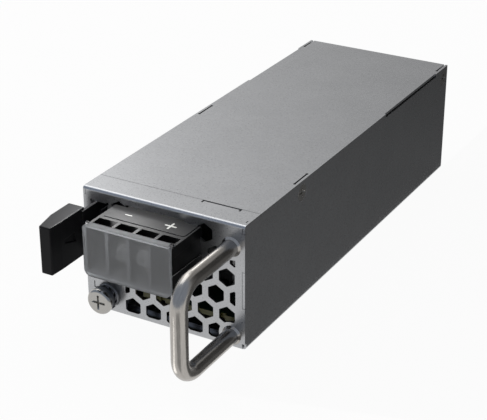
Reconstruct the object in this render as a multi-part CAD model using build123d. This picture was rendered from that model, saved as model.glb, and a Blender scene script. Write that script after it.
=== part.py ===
from build123d import *
import math
import os

# A narrow plug-in rack power supply in a folded sheet-metal case.
# X runs across the front, Y runs from the front grille to the rear, Z is up.
# The origin is the middle of the case's underside. All sizes are in millimetres.

# Case
WIDTH = 54.5
HEIGHT = 40.2
LENGTH = 147.0
SHEET = 0.8
INNER_BEND = 0.2
SEAM = 0.15
FIT = 0.1
HOLE_FIT = 0.05
FLANGE_DEPTH = 9.0
LIP_LENGTH = 5.0
LIP_INSET = 1.2
EAR_NOTCH_HEIGHT = 2.1
EAR_NOTCH_WIDTH = 1.0
SIDE_TAB_LOW = 13.75
SIDE_TAB_HIGH = 25.5
TOP_TAB_HEIGHT = 1.8
TAB_GAP = 0.12
SLIT_START_X = 8.45
SLIT_END_X = 21.4
SLIT_DEPTH = 0.5
SLIT_END_DEPTH = 1.4
SLIT_END_WIDTH = 0.6
EDGE_RELIEF = 0.5
EDGE_RELIEF_END_Y = 63.0
RIGHT_RELIEF_Y = 20.4
CORNER_SLIT_INSET = 2.35
CORNER_SLIT_LOW = 7.0
CORNER_SLIT_HIGH = 9.2
CORNER_SLIT_RUN = 1.0
CORNER_SLIT_WIDTH = 0.3
BEND_SLIT_INSET = 0.95
BEND_SLIT_SETBACK = 2.9
BEND_SLIT_LENGTH = 1.2
LEFT_RELIEF_Y = 25.7

# Lid screws, as side, Y of the tab's middle and the screw's step along Y from it
SCREW_DROP = 3.8
LID_SCREWS = ((1, -38.0, -1.0), (1, 70.1, 0.0), (-1, -5.2, 0.0), (-1, 70.1, 0.0))
LID_SCREW_LENGTH = 3.0
LID_TAB_HALF = 3.4
LID_TAB_DROP = 7.0
LID_SLOT_HALF = 4.0
LID_SLOT_WIDTH = 0.55
LID_SLOT_END = 0.9
SCREW_RADIUS = 1.5
SCREW_HEAD_RADIUS = 2.6
SCREW_HEAD_DEPTH = 1.1
SCREW_LENGTH = 6.0
RECESS_SPREAD = 0.62
RECESS_DEPTH = 1.1

# Rivets through the folded flanges
RIVET_RADIUS = 1.2
RIVET_HEAD_RADIUS = 2.1
RIVET_HEAD_DEPTH = 0.5
RIVET_SPACING = 18.0
RIVET_SETBACK = 2.6

# Honeycomb
HEX_ACROSS = 5.25
HEX_PITCH = 7.2
HEX_CORNER = 0.35
HEX_RIGHT_INSET = 2.32
HEX_FIRST_Z = 3.9
GRILLE_RIGHT_MARGIN = 3.1
GRILLE_BOTTOM_MARGIN = 1.83
GRILLE_TOP_MARGIN = 2.0
GRILLE_LEFT_X = -13.7
GRILLE_BLOCK_MARGIN = 2.3
ROOT_PAD = 4.2

# Pull handle
HANDLE_RADIUS = 2.5
HANDLE_INSET = 4.45
HANDLE_TOP_DROP = 7.4
HANDLE_FOOT_RISE = 4.1
HANDLE_REACH = 28.0
HANDLE_BEND = 7.1
HANDLE_FLARE = 0.6
HANDLE_STUD_RADIUS = 1.5
HANDLE_STUD_LENGTH = 4.2
NUT_ACROSS = 5.5
NUT_HEIGHT = 2.4

# Terminal block
BLOCK_LEFT_X = -15.9
BLOCK_WIDTH = 29.1
BLOCK_TOP_DROP = 3.4
BLOCK_HEIGHT = 14.5
BLOCK_DEPTH = 15.8
CELL_COUNT = 4
CELL_DEPTH = 6.3
END_WALL = 0.95
DIVIDER = 1.1
DIVIDER_SHIFT = 0.3
CELL_FLOOR = 0.9
LABEL_SETBACK = 1.6
LABEL_GROOVE = 0.4
LABEL_GROOVE_DEPTH = 0.4
LABEL_CORNER = 1.2
LABEL_LEFT_INSET = 1.4
LABEL_RIGHT_INSET = 0.7
END_RECESS = 0.4
END_RECESS_LOW = 5.7
END_RECESS_HIGH = 11.3
TERMINAL_CELLS = (1, 2)
SPARE_CELLS = (0, 3)
TERMINAL_RISE = 7.8
TERMINAL_HEAD_DEPTH = 2.2
TERMINAL_RADIUS = 1.5
TERMINAL_SHANK = 7.5
CLAMP_GAP = 0.29
CLAMP_THICK = 1.0
BAR_WIDTH = 4.6
BAR_THICK = 1.2
BAR_LOW = 2.6
BAR_HIGH = 11.4
BAR_LEG_SETBACK = 3.4
BAR_FOOT = 4.0
BLOCK_SCREW_RADIUS = 1.25
BLOCK_SCREW_HEAD = 2.2
BLOCK_SCREW_HEAD_DEPTH = 1.5
BLOCK_SCREW_LENGTH = 6.0
WINDOW_LEFT_INSET = 3.4
WINDOW_WIDTH = 20.0
WINDOW_OVER_TOP = 0.6
WINDOW_HEIGHT = 3.8
LEDGE_GAP = 0.2
LEDGE_DROP = 0.5
LEDGE_DEPTH = 2.0

# Terminal cover
COVER_THICK = 0.9
COVER_GAP = 0.1
COVER_DROP = 0.8
COVER_CORNER = 2.2
COVER_TOP_CORNER = 0.9
COVER_LIP_THICK = 0.7
COVER_RIM_DEPTH = 1.4
COVER_RIM_THICK = 0.6
HINGE_SETBACK = 1.3
HINGE_RISE = 0.45
HINGE_RADIUS = 0.4
HINGE_PIN_RADIUS = 0.25
EAR_RADIUS = 0.5
EAR_CLEARANCE = 0.15
PIN_PROUD = 0.3

# Earth screw
EARTH_INSET = 6.95
EARTH_Z = 5.2
EARTH_RADIUS = 2.0
EARTH_HEAD_RADIUS = 4.2
EARTH_HEAD_SIDE = 0.4
EARTH_HEAD_DOME = 1.1
EARTH_FACE_RADIUS = 3.0
EARTH_SHANK = 8.6
INSERT_FLANGE_RADIUS = 3.8
INSERT_FLANGE = 0.5
INSERT_BARREL_RADIUS = 2.7
INSERT_BARREL = 3.0
LOCK_WASHER_RADIUS = 4.1
LOCK_WASHER_THICK = 0.8
LOCK_WASHER_TEETH = 12
LOCK_WASHER_ROOT = 3.1
LOCK_WASHER_SLOT = 0.8
CUP_WASHER_RADIUS = 3.75
CUP_WASHER_THICK = 1.8
WASHER_GAP = 0.35

# Release lever
LATCH_TOP_DROP = 4.2
LATCH_HEIGHT = 15.2
LATCH_PROUD = 2.15
LATCH_WIDTH = 5.55
LATCH_NOSE_LEFT_INSET = 1.5
LATCH_NOSE_RIGHT_INSET = 0.3
LATCH_BACK_GAP = 4.4
LATCH_SHOULDER = 9.0
LATCH_FACET = 11.8
LATCH_LENGTH = 16.6
LATCH_EDGE = 0.35
WEDGE_DEPTH = 0.5
WEDGE_SETBACK = 5.2
WEDGE_LENGTH = 5.0
WEDGE_TOP_DROP = 5.95
WEDGE_BACK_HEIGHT = 3.15
WEDGE_SLANT = 0.5
WEDGE_NOSE_HEIGHT = 1.4
WEDGE_NOSE_DROP = 0.25
SLOT_LEFT_GAP = 0.65
SLOT_WIDTH = 5.7
SLOT_BELOW = 0.5
SLOT_ABOVE = 0.2
SLOT_RELIEF = 0.45
ARM_SLOT_GAP = 0.2
ARM_THIN = 0.9
ARM_THICK = 1.6
ARM_TOP_DROP = 0.8
ARM_BOTTOM_RISE = 2.2
PIVOT_INSET = 5.05
PIVOT_SETBACK = 31.5
PIVOT_RADIUS = 1.0
BOSS_RADIUS = 2.5
BOSS_TOP_DROP = 3.0
TONGUE_FRONT_SETBACK = 12.5
TONGUE_LENGTH = 4.0
TONGUE_PROUD = 1.5
TONGUE_RISE = 4.2
TONGUE_HEIGHT = 7.0
TONGUE_CLEARANCE = 0.9
BRACKET_HALF = 4.0
BRACKET_BELOW = 0.2
BRACKET_ABOVE = 1.6
BRACKET_REACH = 7.05
SPRING_WIRE = 0.5
SPRING_RADIUS = 1.6
SPRING_TURNS = 3
SPRING_PITCH = 0.65
SPRING_START_ANGLE = -18.0
SPRING_END_ANGLE = 64.0
SPRING_RISE = 0.9
LATCH_RIVET_RADIUS = 1.0
LATCH_RIVET_HEAD = 1.7
LATCH_RIVET_HEAD_DEPTH = 0.4
LATCH_RIVET_RISE = 4.4
LATCH_RIVET_DROP = 4.1

# Circuit board and what holds it
STANDOFF_HEIGHT = 5.0
STANDOFF_RADIUS = 2.75
STANDOFF_SPIGOT = 2.1
BOARD_THICK = 1.6
BOARD_SIDE_GAP = 1.05
BOARD_FRONT_GAP = 3.2
BOARD_REAR_Y = 42.0
BOARD_TONGUE_GAP = 0.2
BOARD_TONGUE_Y = 71.0
BOARD_NOTCH_X = -10.0
BOARD_NOTCH_Y = -58.0
EDGE_BITE_WIDTH = 1.6
EDGE_BITE_DEPTH = 0.9
EDGE_BITES = (-3.0, 8.5, 17.5)
BOARD_SCREW_HEAD = 2.5
BOARD_SCREW_HEAD_DEPTH = 1.8
BOARD_SCREW_DEPTH = 4.0

# Board screws, as side, inset from the board's long edge and Y
BOARD_SCREW_PLACES = (
    (1, 4.9, -59.0),
    (-1, 4.9, -53.5),
    (1, 3.2, -12.0),
    (-1, 3.2, -12.0),
    (-1, 3.4, 39.2),
    (1, 2.8, 39.2),
)

# Film under the board
FILM_THICK = 0.4
FILM_INSET = 1.5
FILM_REAR_GAP = 7.0
FILM_HOLE = 3.2

# Output stage
OUTPUT_SINK_Y = -56.0
OUTPUT_SINK_LENGTH = 31.0
SINK_SIDE_GAP = 2.05
SINK_HEIGHT = 26.0
SINK_PLATE = 2.4
SINK_WIDTH = 11.2
FIN_THICK = 1.2
FIN_COUNT = 6
RECTIFIER_BODY = (4.8, 14.0, 18.0)
RECTIFIER_COUNT = 2
LEAD_WIDTH = 1.0
LEAD_THICK = 0.6
LEAD_LENGTH = 3.0
OUTPUT_CAN_RADIUS = 5.0
OUTPUT_CAN_HEIGHT = 16.0
OUTPUT_CAN_WALL_GAP = 8.25
OUTPUT_CAN_Y = -51.0
OUTPUT_CAN_PITCH = 10.6
OUTPUT_CAN_COUNT = 3
OUTPUT_CHOKE_X = 0.0
OUTPUT_CHOKE_Y = -49.0
OUTPUT_CHOKE_GAP = 1.4
OUTPUT_CHOKE_HEIGHT = 13.0
CONTROL_Y = -33.0
CONTROL_OVERHANG = 0.5
CONTROL_HEIGHT = 21.0
CONTROL_THICK = 1.2
CHIP_SIZES = ((6.0, 6.0, 4.0), (5.0, 4.0, 11.0), (7.0, 3.0, 16.5))
CHIP_THICK = 1.1

# Transformer
CORE_Y = -10.0
CORE_X = -2.0
CORE_WIDTH = 28.0
CORE_DEPTH = 12.0
CORE_HEIGHT = 23.0
CORE_YOKE = 4.0
CORE_LEG = 8.0
CORE_WINDOW = 6.0
BOBBIN_BASE = 2.0
BOBBIN_WALL = 0.8
BOBBIN_OVERHANG = 4.6
WINDING_INSET = 0.5

# Primary stage
PRIMARY_SINK_Y = 4.0
PRIMARY_SINK_LENGTH = 31.0
TRANSISTOR_BODY = (4.5, 8.6, 15.0)
TRANSISTOR_COUNT = 3
BULK_RADIUS = 8.6
BULK_HEIGHT = 27.0
BULK_WALL_GAP = 1.65
BULK_Y = 9.5
BULK_PITCH = 18.0
CAN_TOP_ROUND = 0.8
CAN_GROOVE = 0.5
CAN_GROOVE_DROP = 2.2
BOOST_X = 0.8
BOOST_Y = 13.0
BOOST_RADIUS = 9.5
BOOST_HOLE = 5.0
BOOST_THICK = 8.0
BOOST_TURNS = 14
FILM_CAP_DEPTH = 5.4
FILM_CAP_HEIGHT = 12.0
FILM_CAP_CAN_GAP = 2.4
FILM_CAP_SINK_GAP = 1.9
FILM_CAP_Y = 29.0
FILM_CAP_PITCH = 6.4
FILM_CAP_COUNT = 2
BRIDGE_SIZE = (11.0, 4.0, 15.0)
BRIDGE_SHIFT = 0.1
BRIDGE_Y = 44.5
LINE_CHOKE_Y = 51.0
LINE_CHOKE_RADIUS = 5.2
LINE_CHOKE_HOLE = 2.8
LINE_CHOKE_THICK = 4.6
LINE_CHOKE_TURNS = 10
WIRE = 0.9
FUSE_RADIUS = 1.8
FUSE_LENGTH = 11.0
FUSE_CAP = 2.4
FUSE_Y = 57.0

# Rear panel, fan and input connector
REAR_FLANGE = 8.0
FAN_CLEARANCE = 0.9
FAN_SIDE_GAP = 2.35
FAN_CONNECTOR_GAP = 0.1
FAN_DEPTH = 28.0
FAN_RIM = 1.0
FAN_HOLE_INSET = 3.0
FAN_CORNER = 2.5
FAN_END_FLANGE = 3.5
FAN_SHELL = 0.8
HUB_SHARE = 0.25
HUB_PLATE = 2.0
HUB_LENGTH = 19.0
HUB_WALL = 1.2
STRUT_WIDTH = 1.8
STRUT_COUNT = 4
BEARING_RADIUS = 2.6
SHAFT_RADIUS = 1.0
BLADE_COUNT = 7
BLADE_TIP_GAP = 0.6
BLADE_THICK = 0.9
BLADE_CHORD = 13.0
BLADE_ROOT_ANGLE = 38.0
BLADE_TIP_ANGLE = 58.0
STATOR_GAP = 1.0
STATOR_SLOT = 1.8
STATOR_LENGTH = 9.0
EXHAUST_INSET = 0.4
CONNECTOR_SIDE_GAP = 1.65
CONNECTOR_WIDTH = 10.8
CONNECTOR_DEPTH = 13.0
CONNECTOR_HEIGHT = 26.4
CONNECTOR_FLANGE = 1.0
SOCKET_WIDTH = 3.0
SOCKET_HEIGHT = 6.4
SOCKET_DEPTH = 10.0
SOCKET_PITCH = 8.2
SOCKET_COUNT = 3
BLADE_CONTACT_THICK = 0.9
BLADE_CONTACT_GAP = 1.2

# Places worked out from the sizes above
FRONT_Y = -LENGTH / 2
BACK_Y = LENGTH / 2
SIDE_X = WIDTH / 2
INNER_X = SIDE_X - SHEET
OUTER_BEND = INNER_BEND + SHEET
PANEL_BACK_Y = FRONT_Y + SHEET
SEAM_Y = FRONT_Y + FLANGE_DEPTH
LID_Z = HEIGHT - SHEET
SCREW_Z = HEIGHT - SCREW_DROP
SIDE_TAB_ZONES = ((SIDE_TAB_LOW, SIDE_TAB_HIGH), (LID_Z - TOP_TAB_HEIGHT, LID_Z))
HANDLE_X = SIDE_X - HANDLE_INSET
HANDLE_TOP_Z = HEIGHT - HANDLE_TOP_DROP
HANDLE_BOTTOM_Z = HANDLE_FOOT_RISE
BLOCK_RIGHT_X = BLOCK_LEFT_X + BLOCK_WIDTH
BLOCK_TOP_Z = HEIGHT - BLOCK_TOP_DROP
BLOCK_BOTTOM_Z = BLOCK_TOP_Z - BLOCK_HEIGHT
GRILLE_LOW_TOP = BLOCK_BOTTOM_Z - GRILLE_BLOCK_MARGIN
HEX_ROW_PITCH = HEX_PITCH * math.sqrt(3) / 2
HEX_ROWS = int((HEIGHT - GRILLE_TOP_MARGIN - HEX_FIRST_Z) / HEX_ROW_PITCH) + 1
HEX_COLUMNS = int((SIDE_X - HEX_RIGHT_INSET - GRILLE_LEFT_X) / HEX_PITCH) + 1
HEX_EVEN_X = SIDE_X - HEX_RIGHT_INSET - (HEX_COLUMNS - 1) * HEX_PITCH
BLOCK_FRONT_Y = FRONT_Y - BLOCK_DEPTH
CELL_BACK_Y = BLOCK_FRONT_Y + CELL_DEPTH
CELL_WIDTH = (BLOCK_WIDTH - 2 * END_WALL - (CELL_COUNT - 1) * DIVIDER) / CELL_COUNT
CLAMP_SIZE = CELL_WIDTH - 2 * CLAMP_GAP
TERMINAL_HEAD_RADIUS = CLAMP_SIZE / 2
TERMINAL_Z = BLOCK_BOTTOM_Z + TERMINAL_RISE
BAR_FRONT_Y = CELL_BACK_Y - HOLE_FIT - BAR_THICK
CLAMP_FRONT_Y = BAR_FRONT_Y - HOLE_FIT - CLAMP_THICK
TERMINAL_UNDER_Y = CLAMP_FRONT_Y - HOLE_FIT
HINGE_Y = BLOCK_FRONT_Y + HINGE_SETBACK
HINGE_Z = BLOCK_TOP_Z + HINGE_RISE
COVER_FRONT_Y = BLOCK_FRONT_Y - COVER_GAP - COVER_THICK
EARTH_X = -SIDE_X + EARTH_INSET
LATCH_TOP_Z = HEIGHT - LATCH_TOP_DROP
LATCH_BOTTOM_Z = LATCH_TOP_Z - LATCH_HEIGHT
LATCH_LEFT_X = -SIDE_X - LATCH_PROUD
LATCH_RIGHT_X = LATCH_LEFT_X + LATCH_WIDTH
LATCH_BACK_Y = FRONT_Y - LATCH_BACK_GAP
LATCH_FRONT_Y = LATCH_BACK_Y - LATCH_LENGTH
SLOT_LEFT_X = LATCH_RIGHT_X - SLOT_LEFT_GAP
SLOT_BOTTOM_Z = LATCH_BOTTOM_Z - SLOT_BELOW
SLOT_TOP_Z = LATCH_TOP_Z + SLOT_ABOVE
ARM_LEFT_X = SLOT_LEFT_X + ARM_SLOT_GAP
PIVOT_X = -SIDE_X + PIVOT_INSET
PIVOT_Y = FRONT_Y + PIVOT_SETBACK
TONGUE_BOTTOM_Z = LATCH_BOTTOM_Z + TONGUE_RISE
TONGUE_FRONT_Y = FRONT_Y + TONGUE_FRONT_SETBACK
BRACKET_PLATE_X = -INNER_X + SHEET
BRACKET_RIGHT_X = -INNER_X + BRACKET_REACH
BRACKET_BOTTOM_Z = LATCH_BOTTOM_Z - BRACKET_BELOW
BRACKET_TOP_Z = LATCH_TOP_Z + BRACKET_ABOVE
LATCH_RIVET_ZONES = (BRACKET_BOTTOM_Z + LATCH_RIVET_RISE, BRACKET_TOP_Z - LATCH_RIVET_DROP)
BOARD_Z = SHEET + STANDOFF_HEIGHT
BOARD_TOP_Z = BOARD_Z + BOARD_THICK
BOARD_X = INNER_X - BOARD_SIDE_GAP
BOARD_FRONT_Y = PANEL_BACK_Y + BOARD_FRONT_GAP
BOARD_SCREWS = [(side * (BOARD_X - inset), y) for side, inset, y in BOARD_SCREW_PLACES]
SINK_X = INNER_X - SINK_SIDE_GAP - SINK_WIDTH
OUTPUT_CAN_X = -INNER_X + OUTPUT_CAN_WALL_GAP + OUTPUT_CAN_RADIUS
OUTPUT_CHOKE_SIZE = 2 * (SINK_X - RECTIFIER_BODY[0] - OUTPUT_CHOKE_X - OUTPUT_CHOKE_GAP)
CONTROL_WIDTH = OUTPUT_CHOKE_SIZE + 2 * CONTROL_OVERHANG
BULK_X = -INNER_X + BULK_WALL_GAP + BULK_RADIUS
FILM_CAP_LEFT_X = BULK_X + BULK_RADIUS + FILM_CAP_CAN_GAP
FILM_CAP_RIGHT_X = SINK_X - TRANSISTOR_BODY[0] - FILM_CAP_SINK_GAP
CONNECTOR_X = INNER_X - CONNECTOR_SIDE_GAP - CONNECTOR_FLANGE - CONNECTOR_WIDTH / 2
CONNECTOR_LEFT_X = CONNECTOR_X - CONNECTOR_WIDTH / 2 - CONNECTOR_FLANGE
BRIDGE_X = CONNECTOR_X - BRIDGE_SHIFT
LINE_CHOKE_X = BRIDGE_X

# The fan is the largest square one that the height and the room beside the connector allow
FAN_SIZE = min(
    LID_Z - 2 * SHEET - 2 * FAN_CLEARANCE,
    CONNECTOR_LEFT_X - FAN_CONNECTOR_GAP + INNER_X - FAN_SIDE_GAP,
)
FAN_X = -INNER_X + FAN_SIDE_GAP + FAN_SIZE / 2
FAN_BORE = FAN_SIZE / 2 - FAN_RIM
FAN_HOLE_PITCH = FAN_SIZE - 2 * FAN_HOLE_INSET
HUB_RADIUS = FAN_SIZE * HUB_SHARE
STATOR_RADIUS = HUB_RADIUS - HUB_WALL - STATOR_GAP
EXHAUST_RADIUS = FAN_BORE - EXHAUST_INSET
BOARD_TONGUE_X = FAN_X + FAN_SIZE / 2 + BOARD_TONGUE_GAP
FAN_BACK_Y = BACK_Y - SHEET
FAN_FRONT_Y = FAN_BACK_Y - FAN_DEPTH
FAN_Z = (2 * SHEET + LID_Z) / 2

ALONG_X = (1, 0, 0)
ALONG_Y = (0, 1, 0)
ALONG_Z = (0, 0, 1)
TOWARDS_FRONT = (0, -1, 0)


def span(x, y, z):
    """Box between the two limits given on each axis."""
    limits = (x, y, z)
    size = [high - low for low, high in limits]
    centre = [(high + low) / 2 for low, high in limits]
    return Pos(*centre) * Box(*size)


def around(centre, half):
    """The two limits at half a width either side of a centre."""
    return (centre - half, centre + half)


def rod(start, direction, radius, length):
    """Cylinder that starts at a point and runs along a direction."""
    base = Plane(origin=start, z_dir=direction)
    return extrude(base * Circle(radius), length)


def cone(start, direction, radius, end_radius, length):
    """Cone that starts at a point and runs along a direction."""
    base = Plane(origin=start, z_dir=direction)
    return base * Cone(radius, end_radius, length, align=(Align.CENTER, Align.CENTER, Align.MIN))


def prism(plane, outline, length):
    """Extrusion of a closed outline of points drawn on a plane, along its normal."""
    return extrude(plane * Polygon(*outline, align=None), length, dir=plane.z_dir)


def upright(y):
    """Plane across the case at y, with local x and y along X and Z and its normal towards the front."""
    return Plane.XZ.offset(-y)


def group(solids):
    """Several separate solids kept as one node."""
    return Compound(children=[solid for piece in solids for solid in piece.solids()])


def cross_recess(start, direction, size, depth):
    """Tapered cross cut for a driver bit."""
    outline = ((-size, 0), (size, 0), (size / 2, depth), (-size / 2, depth))
    wing = extrude(Plane.XZ * Polygon(*outline, align=None), size * 0.15, both=True)
    return Plane(origin=start, z_dir=direction) * (wing + Rot(0, 0, 90) * wing)


def cell_limits(index):
    """X limits of one cell of the terminal block, whose dividers all stand a little to the right."""
    left = BLOCK_LEFT_X + END_WALL + index * (CELL_WIDTH + DIVIDER)
    right = left + CELL_WIDTH
    if index > 0:
        left += DIVIDER_SHIFT
    if index < CELL_COUNT - 1:
        right += DIVIDER_SHIFT
    return left, right


def cell_centre(index):
    """X of the middle of one cell of the terminal block."""
    return sum(cell_limits(index)) / 2


# Honeycomb pattern


def hex_centres(first_x, first_z, rows, columns):
    """Centres of a grid of hexagons, each second row set half a pitch to the left."""
    for row in range(rows):
        shift = HEX_PITCH / 2 if row % 2 else 0
        for column in range(columns):
            yield first_x - shift + column * HEX_PITCH, first_z + row * HEX_ROW_PITCH


def hexagon(x, z):
    return Pos(x, z) * RegularPolygon(HEX_ACROSS / 2, 6, major_radius=False, rotation=30)


def grille_keeps(x, z):
    """True for a hexagon of the front that isn't behind the block or under a handle root."""
    behind_block = z > GRILLE_LOW_TOP and BLOCK_LEFT_X + HEX_ACROSS / 2 < x < BLOCK_RIGHT_X
    roots = [(HANDLE_X, root_z) for root_z in (HANDLE_TOP_Z, HANDLE_BOTTOM_Z)]
    under_root = min(math.dist((x, z), root) for root in roots) < ROOT_PAD
    off_left = x < GRILLE_LEFT_X and HEX_FIRST_Z + HEX_PITCH < z < GRILLE_LOW_TOP
    left, right, low, top = grille_limits(z)
    reach = HEX_ACROSS / 4
    past_edge = not (left - reach < x < right + reach and low - reach < z < top + reach)
    return not (behind_block or under_root or off_left or past_edge)


def grille_limits(z):
    """Left, right, lower and upper limit of the holes in a row."""
    left = GRILLE_LEFT_X if z < GRILLE_LOW_TOP else GRILLE_LEFT_X - HEX_PITCH
    return left, SIDE_X - GRILLE_RIGHT_MARGIN, GRILLE_BOTTOM_MARGIN, HEIGHT - GRILLE_TOP_MARGIN


def grille_window(z):
    """Part of the front that a row of hexagons may cut."""
    left, right, low, top = grille_limits(z)
    window = Pos((left + right) / 2, (low + top) / 2) * Rectangle(right - left, top - low)
    for root in (HANDLE_TOP_Z, HANDLE_BOTTOM_Z):
        window -= Pos(HANDLE_X, root) * Circle(ROOT_PAD)
    return window


def rounded(face, radius):
    """The same outline with its corners rounded."""
    return offset(offset(face, -radius), radius)


def front_holes():
    """Cutting solids of the front's honeycomb."""
    holes = []
    for x, z in hex_centres(HEX_EVEN_X, HEX_FIRST_Z, HEX_ROWS, HEX_COLUMNS):
        if grille_keeps(x, z):
            hole = rounded(hexagon(x, z) & grille_window(z), HEX_CORNER)
            holes.append(extrude(upright(PANEL_BACK_Y + FIT) * hole, SHEET + 2 * FIT))
    return holes


# Case


def front_panel():
    """Front with a folded-back flange at its top and another at its bottom."""
    outer = span((-SIDE_X, SIDE_X), (FRONT_Y, SEAM_Y), (0, HEIGHT))
    outer = fillet(outer.edges().filter_by(Axis.X).group_by(Axis.Y)[0], OUTER_BEND)
    inner = span((-WIDTH, WIDTH), (PANEL_BACK_Y, BACK_Y), (SHEET, LID_Z))
    inner = fillet(inner.edges().filter_by(Axis.X).group_by(Axis.Y)[0], INNER_BEND)
    panel = outer - inner
    for side in (-1, 1):
        panel -= corner_cuts(side)
    panel -= front_holes()
    panel -= latch_slot()
    panel -= ledge_window()
    panel -= [bar_window(cell_centre(index)) for index in TERMINAL_CELLS]
    panel -= [block_screw_hole(cell_centre(index)) for index in SPARE_CELLS]
    panel -= [handle_hole(z) for z in (HANDLE_TOP_Z, HANDLE_BOTTOM_Z)]
    panel -= rod((EARTH_X, FRONT_Y - FIT, EARTH_Z), ALONG_Y, INSERT_BARREL_RADIUS + HOLE_FIT, SHEET + 2 * FIT)
    panel -= [rivet_hole(x, SEAM_Y - RIVET_SETBACK) for x in rivet_columns()]
    return panel - flange_slit() - corner_slit() - bend_slit()


def corner_cuts(side):
    """Notches at one side of the front for the wall's tabs, and the open notch at its foot."""
    cuts = []
    for low, high in SIDE_TAB_ZONES:
        x = sorted((side * (INNER_X - TAB_GAP), side * WIDTH))
        cuts.append(span(x, (FRONT_Y - SHEET, PANEL_BACK_Y + FIT), (low, min(high + TAB_GAP, LID_Z))))
    x = sorted((side * (SIDE_X - EAR_NOTCH_WIDTH), side * WIDTH))
    cuts.append(span(x, (FRONT_Y - SHEET, SEAM_Y + SHEET), (-SHEET, EAR_NOTCH_HEIGHT)))
    return cuts


def latch_slot():
    slot_y = (FRONT_Y - SHEET, PANEL_BACK_Y + FIT)
    slot = span((SLOT_LEFT_X, SLOT_LEFT_X + SLOT_WIDTH), slot_y, (SLOT_BOTTOM_Z, SLOT_TOP_Z))
    for x in (SLOT_LEFT_X, SLOT_LEFT_X + SLOT_WIDTH):
        for z in (SLOT_BOTTOM_Z, SLOT_TOP_Z):
            slot += rod((x, slot_y[0], z), ALONG_Y, SLOT_RELIEF, slot_y[1] - slot_y[0])
    return slot


def bar_window(x):
    """Hole in the front that one output bar passes through."""
    z = (BLOCK_BOTTOM_Z + BAR_LOW - 2 * FIT, BLOCK_BOTTOM_Z + BAR_LOW + BAR_THICK + 2 * FIT)
    return span(around(x, BAR_WIDTH / 2 + 2 * FIT), (FRONT_Y - FIT, PANEL_BACK_Y + FIT), z)


def ledge_window():
    """Opening in the front that the block's moulded ledge sits in, a little taller than the block."""
    left = BLOCK_LEFT_X + WINDOW_LEFT_INSET
    top = BLOCK_TOP_Z + WINDOW_OVER_TOP
    return span((left, left + WINDOW_WIDTH), (FRONT_Y - FIT, PANEL_BACK_Y + FIT), (top - WINDOW_HEIGHT, top))


def block_screw_hole(x):
    start = (x, FRONT_Y - FIT, TERMINAL_Z)
    return rod(start, ALONG_Y, BLOCK_SCREW_RADIUS + HOLE_FIT, SHEET + 2 * FIT)


def handle_hole(z):
    return rod((HANDLE_X, FRONT_Y - FIT, z), ALONG_Y, HANDLE_STUD_RADIUS + HOLE_FIT, SHEET + 2 * FIT)


def flange_slit():
    """Slit in the top flange's rear edge, with a relief that points forward at each end."""
    z = (LID_Z - FIT, HEIGHT + FIT)
    slit = span((SLIT_START_X, SLIT_END_X), (SEAM_Y - SLIT_DEPTH, SEAM_Y + FIT), z)
    for x in (SLIT_START_X, SLIT_END_X - SLIT_END_WIDTH):
        slit += span((x, x + SLIT_END_WIDTH), (SEAM_Y - SLIT_END_DEPTH, SEAM_Y + FIT), z)
    return slit


def corner_slit():
    """Small L-shaped slit near the front's lower left corner."""
    x = -SIDE_X + CORNER_SLIT_INSET
    y = (FRONT_Y - FIT, PANEL_BACK_Y + FIT)
    slit = span((x, x + CORNER_SLIT_WIDTH), y, (CORNER_SLIT_LOW, CORNER_SLIT_HIGH))
    return slit + span((x, x + CORNER_SLIT_RUN), y, (CORNER_SLIT_LOW, CORNER_SLIT_LOW + CORNER_SLIT_WIDTH))


def bend_slit():
    """Short slit in the top flange at its front right corner."""
    x = SIDE_X - BEND_SLIT_INSET
    y = around(FRONT_Y + BEND_SLIT_SETBACK, BEND_SLIT_LENGTH / 2)
    return span(around(x, CORNER_SLIT_WIDTH / 2), y, (LID_Z - FIT, HEIGHT + FIT))


def chassis_tray():
    """Floor and side walls folded from one sheet, with tabs that reach through the front."""
    outer = span((-SIDE_X, SIDE_X), (PANEL_BACK_Y, BACK_Y), (0, LID_Z))
    outer = fillet(outer.edges().filter_by(Axis.Y).group_by(Axis.Z)[0], OUTER_BEND)
    inner = span((-INNER_X, INNER_X), (-LENGTH, LENGTH), (SHEET, HEIGHT))
    inner = fillet(inner.edges().filter_by(Axis.Y).group_by(Axis.Z)[0], INNER_BEND)
    tray = outer - inner
    tray -= span((-INNER_X, INNER_X), (-LENGTH, SEAM_Y + SEAM), (-SHEET, OUTER_BEND))
    tray += span(
        (-INNER_X + LIP_INSET, INNER_X - LIP_INSET),
        (SEAM_Y - LIP_LENGTH, SEAM_Y + LIP_LENGTH / 2),
        (SHEET, 2 * SHEET),
    )
    for side in (-1, 1):
        x = sorted((side * INNER_X, side * SIDE_X))
        for low, high in SIDE_TAB_ZONES:
            tray += span(x, (FRONT_Y, PANEL_BACK_Y), (low + TAB_GAP, high))
    tray -= [edge_relief(1, RIGHT_RELIEF_Y), edge_relief(-1, LEFT_RELIEF_Y)]
    tray -= [side_screw_hole(side, y + step) for side, y, step in LID_SCREWS]
    tray -= [standoff_hole(x, y) for x, y in BOARD_SCREWS]
    tray -= [rivet_hole(x, SEAM_Y - RIVET_SETBACK) for x in rivet_columns()]
    tray -= [rivet_hole(x, BACK_Y - REAR_FLANGE + RIVET_SETBACK) for x in rivet_columns()]
    tray -= tongue_slot()
    return tray - [latch_rivet_hole(z) for z in LATCH_RIVET_ZONES]


def edge_relief(side, start_y):
    """Strip cut from the top of a side wall."""
    x = sorted((side * (INNER_X - FIT), side * WIDTH))
    return span(x, (start_y, EDGE_RELIEF_END_Y), (LID_Z - EDGE_RELIEF, HEIGHT))


def side_screw_hole(side, y):
    return countersink((side * SIDE_X, y, SCREW_Z), (-side, 0, 0), SHEET)


def standoff_hole(x, y):
    return rod((x, y, -FIT), ALONG_Z, STANDOFF_SPIGOT + HOLE_FIT, SHEET + 2 * FIT)


def rivet_columns():
    return (-RIVET_SPACING, 0, RIVET_SPACING)


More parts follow.
